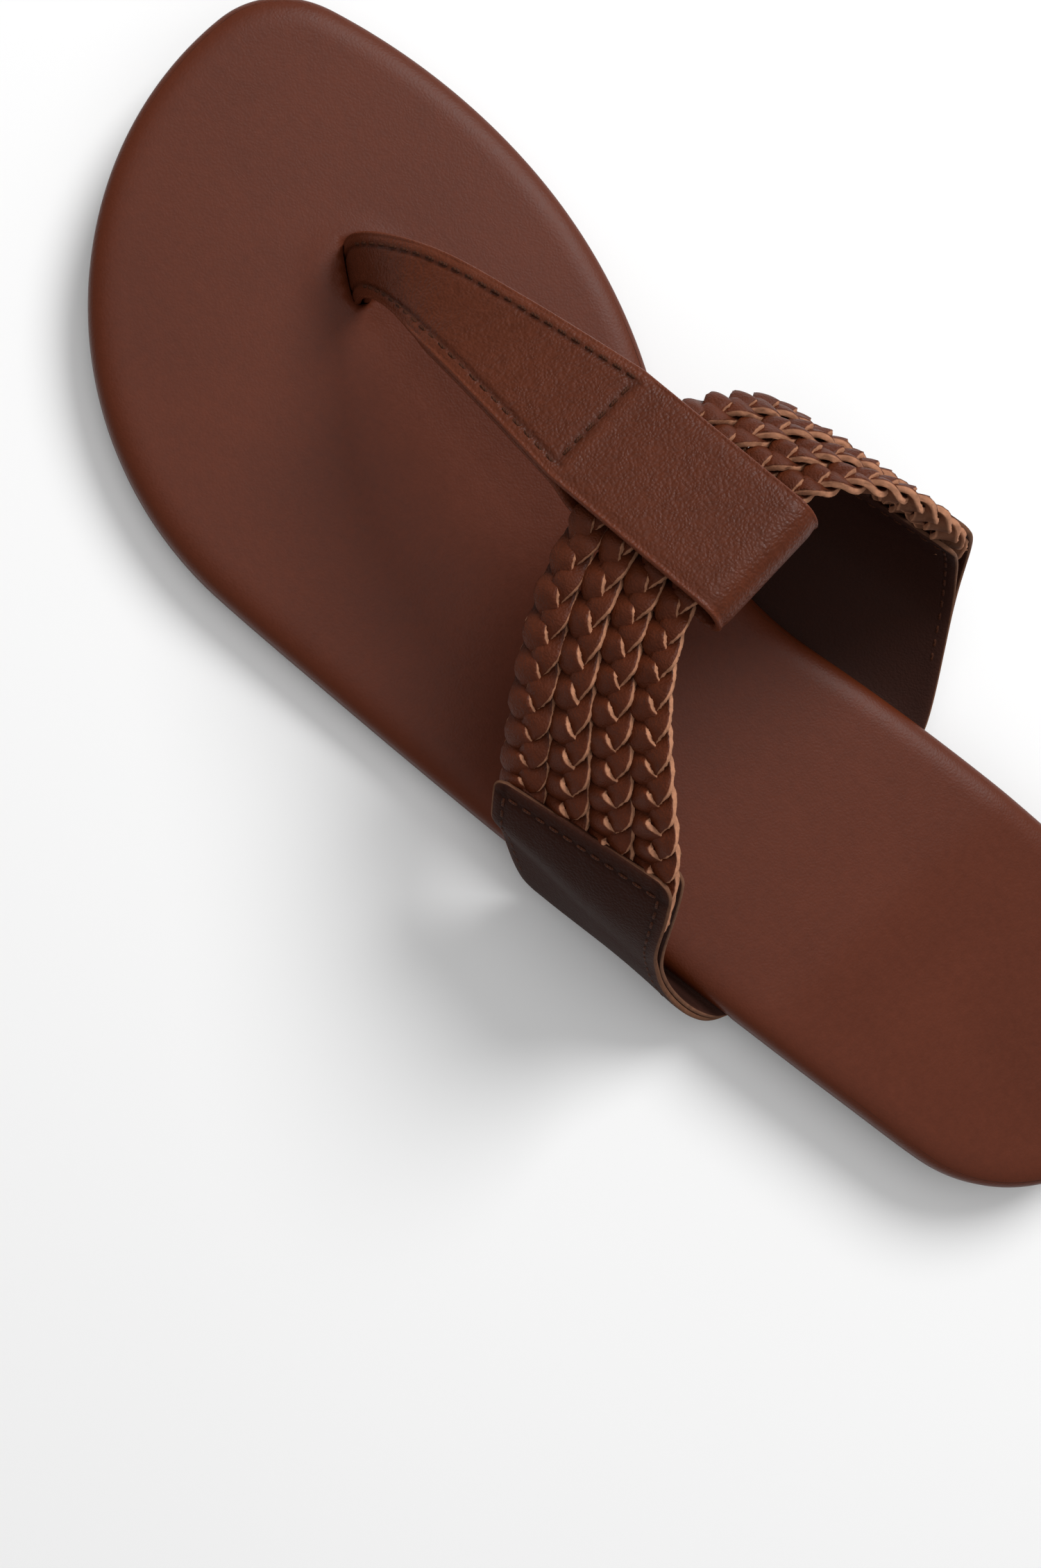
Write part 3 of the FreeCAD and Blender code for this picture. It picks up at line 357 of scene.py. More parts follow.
def new_group(name, inputs, outputs):
    """An empty shader node group with inputs (name, socket type, default) and outputs (name, type)."""
    tree = bpy.data.node_groups.new(name, "ShaderNodeTree")
    for label, kind, default in inputs:
        socket = tree.interface.new_socket(label, in_out="INPUT", socket_type="NodeSocket" + kind)
        if default is not None:
            socket.default_value = default
    for label, kind in outputs:
        tree.interface.new_socket(label, in_out="OUTPUT", socket_type="NodeSocket" + kind)
    start, end = tree.nodes.new("NodeGroupInput"), tree.nodes.new("NodeGroupOutput")

    def put_out(**results):
        for key, result in results.items():
            tree.links.new(result, end.inputs[key.replace("_", " ")])
    return tree, start.outputs, put_out


def grain_group():
    """Leather grain: pebbles, fine pores and long creases as one height, and a slow cloudiness."""
    tree, given, put_out = new_group(
        "Leather grain",
        [("Vector", "Vector", None), ("Pebble scale", "Float", 900.0), ("Pores", "Float", 0.35),
         ("Creases", "Float", 0.3)],
        [("Height", "Float"), ("Cloud", "Float"), ("Speck", "Float")])
    place = given["Vector"]
    shift = scaled(tree, noise(tree, place, 260.0, 2.0)["Color"], 0.0016)
    bent = add_node(tree, "VectorMath", {0: place, 1: shift}, operation="ADD")[0]
    pebbles = add_node(tree, "TexVoronoi", {"Vector": bent, "Scale": given["Pebble scale"],
                                            "Smoothness": 0.25}, feature="SMOOTH_F1")["Distance"]
    stretched = add_node(tree, "Mapping", {"Vector": bent, "Scale": (0.35, 1.0, 1.0),
                                           "Rotation": (0.0, 0.0, 0.5)})[0]
    pores = calculate(tree, "MULTIPLY", noise(tree, place, 2600.0, 3.0, 0.6)["Fac"], given["Pores"])
    creases = calculate(tree, "MULTIPLY", noise(tree, stretched, 420.0, 5.0, 0.65)["Fac"], given["Creases"])
    put_out(Height=calculate(tree, "SUBTRACT", calculate(tree, "ADD", pores, creases), pebbles),
            Cloud=noise(tree, place, 45.0, 4.0, 0.6)["Fac"], Speck=noise(tree, place, 700.0, 3.0, 0.7)["Fac"])


def tone_group():
    """Colour of dyed leather: light and dark clouds and specks, a worn tone where the worn mark says (on the
    strap and tabs partly a painted highlight), then darkening by the painted shade mark.
    """
    tree, given, put_out = new_group(
        "Dyed leather tone",
        [("Color", "Color", (0.1, 0.05, 0.03, 1.0)), ("Worn color", "Color", (0.3, 0.16, 0.1, 1.0)),
         ("Cloud", "Float", 0.5), ("Speck", "Float", 0.5), ("Variation", "Float", 0.3),
         ("Worn", "Float", 0.0), ("Shade", "Float", 0.0)],
        [("Color", "Color"), ("Roughness shift", "Float")])
    centred = calculate(tree, "SUBTRACT", calculate(tree, "ADD", given["Cloud"], given["Speck"]), 1.0)
    strength = calculate(tree, "MULTIPLY", centred, given["Variation"])
    varied = scaled(tree, given["Color"], calculate(tree, "ADD", strength, 1.0))
    worn = mixed_colour(tree, given["Worn"], varied, given["Worn color"])
    put_out(Color=scaled(tree, worn, calculate(tree, "SUBTRACT", 1.0, given["Shade"])),
            Roughness_shift=calculate(tree, "MULTIPLY", strength, 0.35))


def fuzz_group():
    """Raw cut leather: short fibres as a height and a pale speckle."""
    tree, given, put_out = new_group("Raw leather fibre", [("Vector", "Vector", None)],
                                     [("Height", "Float"), ("Speckle", "Float")])
    put_out(Height=noise(tree, given["Vector"], 3200.0, 4.0, 0.75, 1.2)["Fac"],
            Speckle=noise(tree, given["Vector"], 900.0, 3.0)["Fac"])


RAW_ROUGHNESS = 0.9


def tinted(rgb, gain=1.0, lift=0.0):
    """A colour made paler or darker, with full alpha."""
    return [min(part * gain + lift, 1.0) for part in rgb[:3]] + [1.0]


def new_material(name):
    """An empty node material's tree and its shader's inputs."""
    material = bpy.data.materials.new(name)
    material.use_nodes = True
    return material.node_tree, material.node_tree.nodes["Principled BSDF"].inputs


def set_shader(tree, shader, colour, roughness, height, depth, strength=1.0, specular=0.15):
    """Feeds a shader with its colour, roughness, height and the height's depth in millimetres."""
    relief = add_node(tree, "Bump", {"Strength": strength, "Distance": depth * MM, "Height": height})
    tree.links.new(colour, shader["Base Color"])
    tree.links.new(relief["Normal"], shader["Normal"])
    if isinstance(roughness, float):
        shader["Roughness"].default_value = roughness
    else:
        tree.links.new(roughness, shader["Roughness"])
    shader["Specular IOR Level"].default_value = specular


def leather(name, base, worn, roughness, pebble, depth, pores, creases, variation, marks, raw=None,
            specular=0.15):
    """A leather: its grain and tone groups feed one Principled shader. Marks are point attributes: worn parts (on
    the strap and tabs partly painted highlights), painted shade along seams, under lace crossings and down the
    footbed's wall, and raw cut edges where a raw colour is given."""
    tree, shader = new_material(name)
    place = add_node(tree, "TexCoord", {})["Object"]
    grain = group_node(tree, "Leather grain", Vector=place, Pebble_scale=pebble, Pores=pores, Creases=creases)
    shares = {mark.title(): add_node(tree, "Attribute", {}, attribute_name=mark)["Fac"] for mark in marks}
    tone = group_node(tree, "Dyed leather tone", Color=tinted(base), Worn_color=tinted(worn),
                      Variation=variation, Cloud=grain["Cloud"], Speck=grain["Speck"], **shares)
    rough = calculate(tree, "ADD", tone["Roughness shift"], roughness)
    height, shown = grain["Height"], tone["Color"]
    if raw:
        fibre = group_node(tree, "Raw leather fibre", Vector=place)
        share = add_node(tree, "Attribute", {}, attribute_name="raw")["Fac"]
        speckled = mixed_colour(tree, fibre["Speckle"], tinted(raw, 0.5), tinted(raw, 1.35))
        shown = mixed_colour(tree, share, shown, speckled)
        rough = mixed(tree, share, rough, RAW_ROUGHNESS)
        height = mixed(tree, share, height, fibre["Height"])
    set_shader(tree, shader, shown, rough, height, depth, specular=specular)


def thread_material(base):
    """Waxed sewing thread: fine twist lines across its length."""
    tree, shader = new_material("Sewing thread")
    place = add_node(tree, "TexCoord", {})["Object"]
    twist = add_node(tree, "TexWave", {"Vector": place, "Scale": 1400.0, "Distortion": 1.5},
                     bands_direction="DIAGONAL")["Fac"]
    tint = mixed_colour(tree, twist, tinted(base, 0.6), tinted(base, 1.3))
    set_shader(tree, shader, tint, 0.7, twist, 0.06, strength=0.8)


# ---------------------------------------------------------------- sole: shapes

def rise(along, sizes):
    """Height of the sole's underside: flat heel, bend, straight shank, bend, flat ball, toe spring."""
    run = sizes.ball_flat_start - sizes.heel_flat_end
    bends = sizes.heel_bend + sizes.ball_bend
    fall = bends - sizes.heel_rise
    angle = math.asin(bends / math.hypot(run, fall)) - math.atan2(fall, run)
    heel_out = sizes.heel_flat_end + sizes.heel_bend * math.sin(angle)
    ball_in = sizes.ball_flat_start - sizes.ball_bend * math.sin(angle)
    after_heel = np.clip(along - sizes.heel_flat_end, 0, sizes.heel_bend)
    before_ball = np.clip(sizes.ball_flat_start - along, 0, sizes.ball_bend)
    after_ball = np.clip(along - sizes.ball_flat_end, 0, sizes.toe_spring)
    shank = sizes.ball_bend * (1 - math.cos(angle)) + (ball_in - along) * math.tan(angle)
    return np.select(
        [along < heel_out, along < ball_in, along < sizes.ball_flat_end],
        [sizes.heel_rise - sizes.heel_bend + np.sqrt(sizes.heel_bend ** 2 - after_heel ** 2), shank,
         sizes.ball_bend - np.sqrt(sizes.ball_bend ** 2 - before_ball ** 2)],
        sizes.toe_spring - np.sqrt(sizes.toe_spring ** 2 - after_ball ** 2))


OUTLINE_STEPS = 900
UPRIGHT = 0.2
WALL_SPACING = 0.4 * MM
OUTWARD_SOFTENING = 12


def outline(outset):
    """The sole's outline, anticlockwise from above, read from the outsole's upright walls: points in
    order of angle round the middle, a closed cubic through them, then even steps. Returns points and
    outward directions."""
    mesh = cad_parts["outsole"].data
    points = np.empty(len(mesh.vertices) * 3)
    mesh.vertices.foreach_get("co", points)
    points = points.reshape(-1, 3)
    corners = [face.vertices[:] for face in mesh.polygons if abs(face.normal.z) < UPRIGHT]
    wall = np.unique(np.round(points[np.array(corners).reshape(-1), :2], 6), axis=0)
    wall = wall[np.argsort(np.arctan2(wall[:, 1], wall[:, 0]))]
    wall = wall[np.linalg.norm(wall - np.roll(wall, 1, 0), axis=1) > WALL_SPACING]
    closed = np.concatenate((wall, wall[:1]))
    places = travelled(closed)
    curve = Spline(places, closed)
    wanted = np.linspace(0, places[-1], OUTLINE_STEPS, endpoint=False)
    line = curve.value(wanted)
    run = unit(curve.slope(wanted))
    outward = np.stack((run[:, 1], -run[:, 0]), 1)
    for _ in range(OUTWARD_SOFTENING):
        outward = (np.roll(outward, 1, 0) + 2 * outward + np.roll(outward, -1, 0)) / 4
    outward = unit(outward)
    return line + outward * outset, outward


# Middle along and across, half length and half width, all in metres, and share of the footbed's dish.
HOLLOWS = {"heel": (-0.088, -0.004, 0.030, 0.021, 1.0), "ball": (0.038, 0.002, 0.034, 0.032, 0.75),
           "toes": (0.094, -0.014, 0.016, 0.017, 0.35), "arch": (-0.030, 0.006, 0.040, 0.022, 0.35)}


def foot_print(spots, sizes):
    """Depth of the shallow hollows that the foot has pressed in the footbed: a sum of Gaussians."""
    depth = np.zeros(len(spots))
    for x, y, long, wide, share in HOLLOWS.values():
        depth += share * np.exp(-((spots[:, 0] - x) / long) ** 2 - ((spots[:, 1] - y) / wide) ** 2)
    return depth * sizes.dish


MOUTH_STEPS = 72
MOUTH_POWER = 5


def slot_middle():
    """The toe slot's middle from above, and the top of the anchor under it."""
    low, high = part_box("toe_anchor")
    return np.array([(low.x + high.x) / 2, (low.y + high.y) / 2]), high.z


def slot_loop(sizes, outset=0.0):
    """The toe slot's mouth: a rounded slit, a power curve on the slot's two half sizes."""
    thong = bpy.context.scene.thong_sizes
    turn = thong.slot_angle + thong.yaw
    along_slot = np.array([-math.sin(turn), math.cos(turn)])
    across_slot = np.array([math.cos(turn), math.sin(turn)])
    angle = np.linspace(0, 2 * math.pi, MOUTH_STEPS, endpoint=False)[:, None]
    ray = np.cos(angle) * across_slot + np.sin(angle) * along_slot
    x = np.abs(np.cos(angle)) / (sizes.slot_width / 2 + outset)
    y = np.abs(np.sin(angle)) / (sizes.slot_length / 2 + outset)
    return slot_middle()[0] + ray * (x ** MOUTH_POWER + y ** MOUTH_POWER) ** (-1 / MOUTH_POWER)


def inside(points, loop):
    """Which points lie inside a closed loop: an odd number of its edges crosses the ray from each."""
    following = np.roll(loop, -1, 0)
    above, next_above = loop[:, 1] > points[:, 1:], following[:, 1] > points[:, 1:]
    step = following - loop
    slope = step[:, 0] / np.where(step[:, 1] == 0, 1, step[:, 1])
    crossing = loop[:, 0] + (points[:, 1:] - loop[:, 1]) * slope
    return np.sum((above != next_above) & (points[:, :1] < crossing), 1) % 2 == 1


WINDOW_EASE = 1.2 * MM


def tab_window(line):
    """One where a tab passes under the footbed's edge, nought elsewhere, with short eases."""
    window = np.zeros(len(line))
    for side in (1, -1):
        rear, front = base_reach(side)
        near = smooth((line[:, 0] - rear) / WINDOW_EASE + 1) * smooth((front - line[:, 0]) / WINDOW_EASE + 1)
        window = np.maximum(window, near * (line[:, 1] * side > 0))
    return window


FILL_EDGE = 9.0 * MM
FILL_SPACING = 1.3 * MM
FOOTBED_SKIN = 2.1 * MM
ROLL_WIDTH = 6.2 * MM
ROLL_DROP = 3.3 * MM
ROLL_POWER = 0.87
ROLL_STEPS = 26
WALL_SHARES = (0.35, 0.7, 0.92, 1.0)
WALL_BULGE = 0.22 * MM
LIP_HEIGHT = 0.45 * MM
LIP_DEPTH = 0.5 * MM


def footbed_rim(sizes, line, outward, level):
    """Rows of the footbed leather from the flat part's ring over the rolled edge, down the wall and back
    on the leather's inner side, with their worn and shaded shares."""
    rows, worn, shade = [], [], []

    def add(spots, heights, worn_share=0.0, shade_share=0.0):
        rows.append(np.column_stack((spots, heights)))
        worn.append(np.full(len(line), worn_share))
        shade.append(np.full(len(line), shade_share))

    ring = line - outward * FILL_EDGE
    for inset in np.linspace(FILL_EDGE, ROLL_WIDTH, 6)[:-1]:
        spots = line - outward * inset
        add(spots, level(spots))
    for angle in np.linspace(0, math.pi / 2, ROLL_STEPS):
        spots = line - outward * ROLL_WIDTH * (1 - math.sin(angle) ** ROLL_POWER)
        drop = ROLL_DROP * (1 - max(math.cos(angle), 0.0) ** ROLL_POWER)
        add(spots, level(spots) - drop, float(smooth(math.sin(angle) ** 2)))
    bottom = rise(line[:, 0], sizes) + sizes.outsole + 0.03 * MM + tab_window(line) * sizes.bed
    top = rows[-1][:, 2]
    for share in WALL_SHARES:
        bulge = WALL_BULGE * math.sin(math.pi * share) - 0.25 * MM * (share == 1.0)
        add(line + outward * bulge, top + (bottom - top) * share, 0.8, 0.5 * share)
    inner = line - outward * sizes.leather
    add(inner, bottom)
    add(inner, rise(line[:, 0], sizes) + sizes.footbed - ROLL_DROP - sizes.leather)
    add(ring, rise(ring[:, 0], sizes) + sizes.footbed - FOOTBED_SKIN)
    return np.stack(rows), soften(np.stack(worn), 2), soften(np.stack(shade), 1)


def footbed_shell(sizes):
    """The footbed leather as a closed shell: points, faces and marks. A net of triangles fills the flat
    part between the toe slot and the rim's first row, above and below."""
    line, outward = outline(sizes.inset)
    centre, mouth = slot_middle()[0], slot_loop(sizes)

    def level(spots):
        from_slot = np.linalg.norm(spots - centre, axis=1)
        lip = LIP_HEIGHT * bell(from_slot - 5.5 * MM, 3.2 * MM) - LIP_DEPTH * bell(from_slot, 4.0 * MM)
        return rise(spots[:, 0], sizes) + sizes.footbed - foot_print(spots, sizes) + lip

    rim, worn, shade = footbed_rim(sizes, line, outward, level)
    ring = rim[0, :, :2]
    low, high = ring.min(0), ring.max(0)
    across, along = np.meshgrid(*[np.arange(low[axis], high[axis], FILL_SPACING) for axis in (1, 0)])
    net = np.stack((along.ravel(), across.ravel()), 1)
    net[:, 0] += 0.5 * FILL_SPACING * (np.round(net[:, 1] / FILL_SPACING) % 2)
    kept = inside(net, line - outward * (FILL_EDGE + 0.8 * MM)) & ~inside(net, slot_loop(sizes, 0.7 * MM))
    flat = np.concatenate((ring, mouth, net[kept]))
    count = len(ring)
    edges = [(start + number, start + (number + 1) % total)
             for start, total in ((0, count), (count, len(mouth))) for number in range(total)]
    found = delaunay_2d_cdt([Vector(spot) for spot in flat / MM], edges, [], 1, 1e-6)
    triangles = np.array([[found[3][corner][0] for corner in triangle] for triangle in found[2]])
    triangles = triangles[~inside(flat[triangles].mean(1), mouth)]
    top = np.column_stack((flat[count:], level(flat[count:])))
    under = np.column_stack((flat[count:], rise(flat[count:, 0], sizes) + sizes.footbed - FOOTBED_SKIN))
    lip = np.column_stack((mouth, level(mouth) - LIP_DEPTH))
    first_top = len(rim) * count
    first_under = first_top + len(top)
    first_lip = first_under + len(under)
    faces = grid_faces(len(rim), count).tolist()
    for first_row, first_net in ((0, first_top), (first_top - count, first_under)):
        faces += np.where(triangles < count, triangles + first_row, triangles - count + first_net).tolist()
    number = np.arange(len(mouth))
    following = (number + 1) % len(mouth)
    for upper, lower in ((first_top, first_lip), (first_lip, first_under)):
        faces += np.stack((upper + number, upper + following, lower + following, lower + number), 1).tolist()
    near_slot = smooth(1 - np.linalg.norm(top[:, :2] - centre, axis=1) / (8 * MM)) * 0.5
    blank = np.zeros(len(under) + len(lip))
    marks = {"worn": np.concatenate((worn.ravel(), near_slot, blank)),
             "shade": np.concatenate((shade.ravel(), np.zeros(len(top)), blank))}
    return np.concatenate((rim.reshape(-1, 3), top, under, lip)), faces, marks


# ---------------------------------------------------------------- thong: path and section

UPWARD = np.array([0, 0, 1.0])
FOLD_FLATTENING = 0.86


class ThongPath:
    """The thong's side view as arrays along it: a drop through the slot, a Bezier rise to the cross seam,
    the sleeve with its fold, and back beneath."""

    def __init__(self, sole, sizes):
        self.sizes = sizes
        middle, anchor_top = slot_middle()
        self.origin = np.append(middle, 0.0)
        self.heelward = np.array([-math.cos(sizes.yaw), -math.sin(sizes.yaw), 0.0])
        self.footbed = sole.footbed
        self.seam_level = sole.footbed + sizes.seam_height
        self.low = anchor_top + 0.45 * MM
        self.offset = (sizes.tape + sizes.leather) / 2
        self.slope = math.tan(sizes.slope)

    def across(self, reach):
        """Direction of the strap's width: it twists as it drops into the slot."""
        turn = self.sizes.yaw + self.sizes.slot_angle * (1 - smooth(reach / (0.5 * self.sizes.seam_reach)))
        return np.stack((-np.sin(turn), np.cos(turn), np.zeros_like(turn)), -1)

    def breadth(self, reach):
        """Width: even taper from the sleeve to the slot."""
        share = np.clip(reach / self.sizes.seam_reach, 0, 1)
        return self.sizes.end_width + (self.sizes.width - self.sizes.end_width) * share

    def middle(self, count=70):
        """Reach, point and outward direction of the line between the two layers, slot to cross seam."""
        sizes = self.sizes
        part = np.linspace(0, 1, count)
        rest = 1 - part
        seam, mouth = sizes.seam_reach, self.footbed
        handles = np.array([(0.0, mouth), (0.0, mouth + sizes.toe_room),
                            (0.5 * seam, self.seam_level - 0.5 * seam * self.slope), (seam, self.seam_level)])
        weights = np.stack((rest ** 3, 3 * rest ** 2 * part, 3 * rest * part ** 2, part ** 3), 1)
        side = np.concatenate(([[0.0, self.low]], [[0.0, (self.low + mouth) / 2]], weights @ handles))
        steps = unit(np.gradient(side, axis=0))
        steps[0] = (0.0, 1.0)
        reach, level = side.T
        points = self.origin + reach[:, None] * self.heelward + level[:, None] * UPWARD
        run = steps[:, :1] * self.heelward + steps[:, 1:] * UPWARD
        return reach, points, unit(np.cross(self.across(reach), run))

    def strip(self):
        """The folded strip's own middle line: points and reaches, from the slot round the fold and back."""
        sizes = self.sizes
        reach, points, out = self.middle()
        top, under = points + out * self.offset, points - out * self.offset
        radius = (sizes.sleeve_room + sizes.leather) / 2
        sleeve = np.linspace(sizes.seam_reach, sizes.fold_reach, 40)[1:]
        level = self.seam_level + self.offset + (sleeve - sizes.seam_reach) * self.slope
        upper = np.stack((sleeve, level), 1)
        along = np.array([math.cos(sizes.slope), math.sin(sizes.slope)])
        normal = np.array([-along[1], along[0]])
        centre = upper[-1] - normal * radius
        angles = np.linspace(0, math.pi, 26)[1:-1, None]
        fold = centre + radius * (np.cos(angles) * normal + FOLD_FLATTENING * np.sin(angles) * along)
        back = upper[::-1] - (0, 2 * self.offset)
        share = smooth((back[:, 0] - sizes.seam_reach) / sizes.closing)
        back[:, 1] += 2 * (self.offset - radius) * share
        loop = np.concatenate((upper, fold, back))
        loop_points = self.origin + loop[:, :1] * self.heelward + loop[:, 1:] * UPWARD
        line = np.concatenate((top, loop_points, under[::-1]))
        reaches = np.concatenate((reach, loop[:, 0], reach[::-1]))
        return line, reaches, len(top) + len(upper) + len(fold) // 2


def section(columns_face, columns_edge):
    """Rounded flat section as unit values: across from -1 to 1 and up from -1 to 1, with the rounded
    ends as half circles, going once round."""
    face = np.linspace(-1, 1, columns_face)
    turn = np.linspace(math.pi / 2, -math.pi / 2, columns_edge + 2)[1:-1]
    across = np.concatenate((face, np.full(columns_edge, 1.0), face[::-1], np.full(columns_edge, -1.0)))
    up = np.concatenate((np.ones(columns_face), np.sin(turn), -np.ones(columns_face), -np.sin(turn)))
    bulge = np.concatenate((np.zeros(columns_face), np.cos(turn), np.zeros(columns_face), -np.cos(turn)))
    return across, up, bulge


THONG_STEPS = 330
PRESS_WIDTH = 0.42 * MM
PRESS_DEPTH = 0.24 * MM
SWELL = 0.14 * MM
EDGE_ROLL = 0.22 * MM
RIPPLE = 0.09 * MM
RIPPLE_PER_METRE = 900


def thong_grid(path, seams):
    """The strap: the rounded section carried along the strip, its outer face rolled at the edges, pressed
    in along the seams and swollen beside them."""
    sizes = path.sizes
    line, reach, turn_place = path.strip()
    distance = travelled(line)
    fold_distance = distance[turn_place]
    wanted = np.linspace(0, distance[-1], THONG_STEPS)
    points, reach = soften(pick(wanted, distance, line), 4), np.interp(wanted, distance, reach)[:, None]
    distance = travelled(points)
    across = path.across(reach[:, 0])
    out = unit(np.cross(across, unit(np.gradient(points, axis=0))))
    half = path.breadth(reach) / 2
    share, up, bulge = section(61, 7)
    rounding = sizes.leather / 2
    from_edge = half * (1 - np.abs(share))
    sideways = share * (half - rounding * 0.9) + bulge * rounding * 0.9
    past_seam = reach - sizes.seam_reach
    sewn = smooth(1.5 - past_seam / MM)
    along_edge = bell(from_edge - seams.inset, PRESS_WIDTH) * sewn
    press = np.maximum(along_edge, bell(past_seam, PRESS_WIDTH) * (from_edge > seams.inset * 0.9))
    beside = bell(from_edge - seams.inset * 0.35, 0.7 * MM) * sewn
    beside = beside + 0.7 * bell(past_seam - 1.6 * MM, 0.9 * MM)
    top = up > 0.99
    relief = SWELL * beside - PRESS_DEPTH * press - EDGE_ROLL * bell(from_edge, 1.2 * MM)
    ripple = RIPPLE * np.sin(reach * RIPPLE_PER_METRE + 3 * share) * bell(reach - 20 * MM, 15 * MM)
    ripple *= distance[:, None] < fold_distance
    lifted = up * rounding + np.where(top, relief + ripple, 0)
    grid = points[:, None] + across[:, None] * sideways[..., None] + out[:, None] * lifted[..., None]
    # Worn mark: edge wear at the rounded edges and beside the seam, and a painted highlight round the fold. Shade
    # mark: painted shade in the seam's pressed grooves.
    edge = np.clip(bell(from_edge, 0.5 * MM) * 0.8 + np.abs(bulge) * 0.5, 0, 1)
    fold_highlight = 0.175 * bell(distance - fold_distance, 4 * MM)[:, None]
    worn = np.clip(edge * 0.5 + 0.22 * beside + fold_highlight, 0, 1)
    return grid, {"worn": worn, "shade": np.clip(press * 0.3, 0, 1) * top}


# ---------------------------------------------------------------- band of plaits and tabs

PLACES = [0.0, 0.10, 0.28, 0.50, 0.62, 0.82, 0.93, 1.0]
OUTER_TOP, INNER_TOP = PLACES[2], PLACES[5]
# A tab's top and base, by side.
TAB_PLACES = {1: (OUTER_TOP, 0.0), -1: (INNER_TOP, 1.0)}
# Each station holds its X, how far it lies in from the sole's edge, and its height; those in the sleeve
# hold only X and Y.
REAR_STATIONS = {"outer_mid": (-46.0, -3.5, 18.5), "outer_top": (-28.2, 8.94, 45.6),
                 "outer_sleeve": (1.2, 1.5), "inner_sleeve": (2.4, -24.0),
                 "inner_top": (-20.7, -22.4, 36.4), "inner_mid": (-33.0, -17.44, 16.6)}
FRONT_STATIONS = {"outer_mid": (-10.0, -0.94, 18.0), "outer_top": (1.6, 6.04, 34.2),
                  "outer_sleeve": (24.2, 3.5), "inner_sleeve": (25.6, -21.5),
                  "inner_top": (9.0, -17.73, 23.6), "inner_mid": (3.0, -11.8, 12.0)}
BASE_PLACES = {1: (-59.0, -21.0), -1: (-46.5, -7.0)}
END_PULL = 0.130
BAND_STEPS = 2001
LEAST_GAP = 0.03 * MM
POCKET_ROOM = 0.725 * MM


def base_reach(side):
    """Where a tab's rear and front edges leave the sole, along X."""
    return [along * MM for along in BASE_PLACES[side]]


class Band:
    """The ribbon that the plaits and tabs follow: a rear and a front edge curve, from the outer side's
    base at place 0 to the inner side's base at place 1."""

    def __init__(self, sole, thong, tabs):
        self.sole, self.thong, self.tabs = sole, thong, tabs
        self.line = outline(sole.inset)[0]
        self.rear = self.edge(REAR_STATIONS, 0)
        self.front = self.edge(FRONT_STATIONS, 1)
        places = np.linspace(0, 1, BAND_STEPS)
        self.table = places, travelled(self.frame(places, np.full(BAND_STEPS, 0.5))[0])

    def edge_level(self, along, side):
        """Y of the sole's outline at one X."""
        chain = self.line[self.line[:, 1] * side > 0]
        order = np.argsort(chain[:, 0])
        return np.interp(along, chain[order, 0], chain[order, 1])

    def edge(self, stations, number):
        """The clamped cubic through one edge's stations."""
        origin, sizes = self.thong.origin, self.thong.sizes
        points = []
        for name, place in stations.items():
            place = np.array(place) * MM
            if len(place) == 2:
                reach = (np.append(place, 0.0) - origin) @ self.thong.heelward
                leather = (self.thong.seam_level + self.thong.offset
                           + (reach - sizes.seam_reach) * self.thong.slope)
                place = np.append(place, leather - (sizes.sleeve_room + sizes.leather) / 2 - sizes.sag)
            else:
                side = 1 if name.startswith("outer") else -1
                place[1] = self.edge_level(place[0], side) - side * place[1]
            points.append(place)
        for position, side in ((0, 1), (len(points) + 1, -1)):
            along = base_reach(side)[number]
            level = rise(np.array(along), self.sole) + self.sole.outsole + self.tabs.outer + 0.1 * MM
            points.insert(position, np.array([along, self.edge_level(along, side), level]))
        ends = np.array([(0.25, 1, 0), (-0.25, 1, 0)]) * END_PULL
        return Spline(PLACES, points, ends)

    def frame(self, place, share):
        """Point, forward across, along and outward directions at places and shares of the width."""
        rear, front = self.rear.value(place), self.front.value(place)
        point = rear + (front - rear) * share[..., None]
        rear_run, front_run = unit(self.rear.slope(place)), unit(self.front.slope(place))
        run = unit(rear_run + (front_run - rear_run) * share[..., None])
        outward = unit(np.cross(run, unit(front - rear)))
        return point, unit(np.cross(outward, run)), run, outward

    def distance(self, place):
        """Distance along the band's middle."""
        return np.interp(place, *self.table)

    def place_at(self, distance):
        """The place at a distance along the band's middle."""
        return np.interp(distance, self.table[1], self.table[0])

    def width(self, place):
        """Straight distance from the rear edge to the front edge."""
        return np.linalg.norm(self.front.value(place) - self.rear.value(place), axis=1)

    def below(self, place, top):
        """Distance of a place from a tab's top."""
        return np.abs(self.distance(place) - self.distance(top))

    def gap(self, place, top):
        """Half the space between a tab's two leathers: closed at the sole, open round the plaits' ends."""
        room = bpy.context.scene.plait_sizes.height + POCKET_ROOM
        pocket = self.tabs.pocket + 0.5 * MM
        closing = pocket * 1.3
        return LEAST_GAP + (room - LEAST_GAP) * smooth((pocket + closing - self.below(place, top)) / closing)


LACE_STEPS_PER_TURN = 44
KNOTS_PER_TURN = 6
RAGGED = 0.07 * MM
CAMBER = 0.22 * MM
WOBBLE_LIFT = 0.10 * MM
WOBBLE_SWING = 0.05
NARROWEST = 0.6
SLIMMEST = 0.84
SWING_CLEARANCE = 0.46
FIRST_PLAIT_ROLL = 0.45
UNDER_CROSSING_SHADE = 0.5


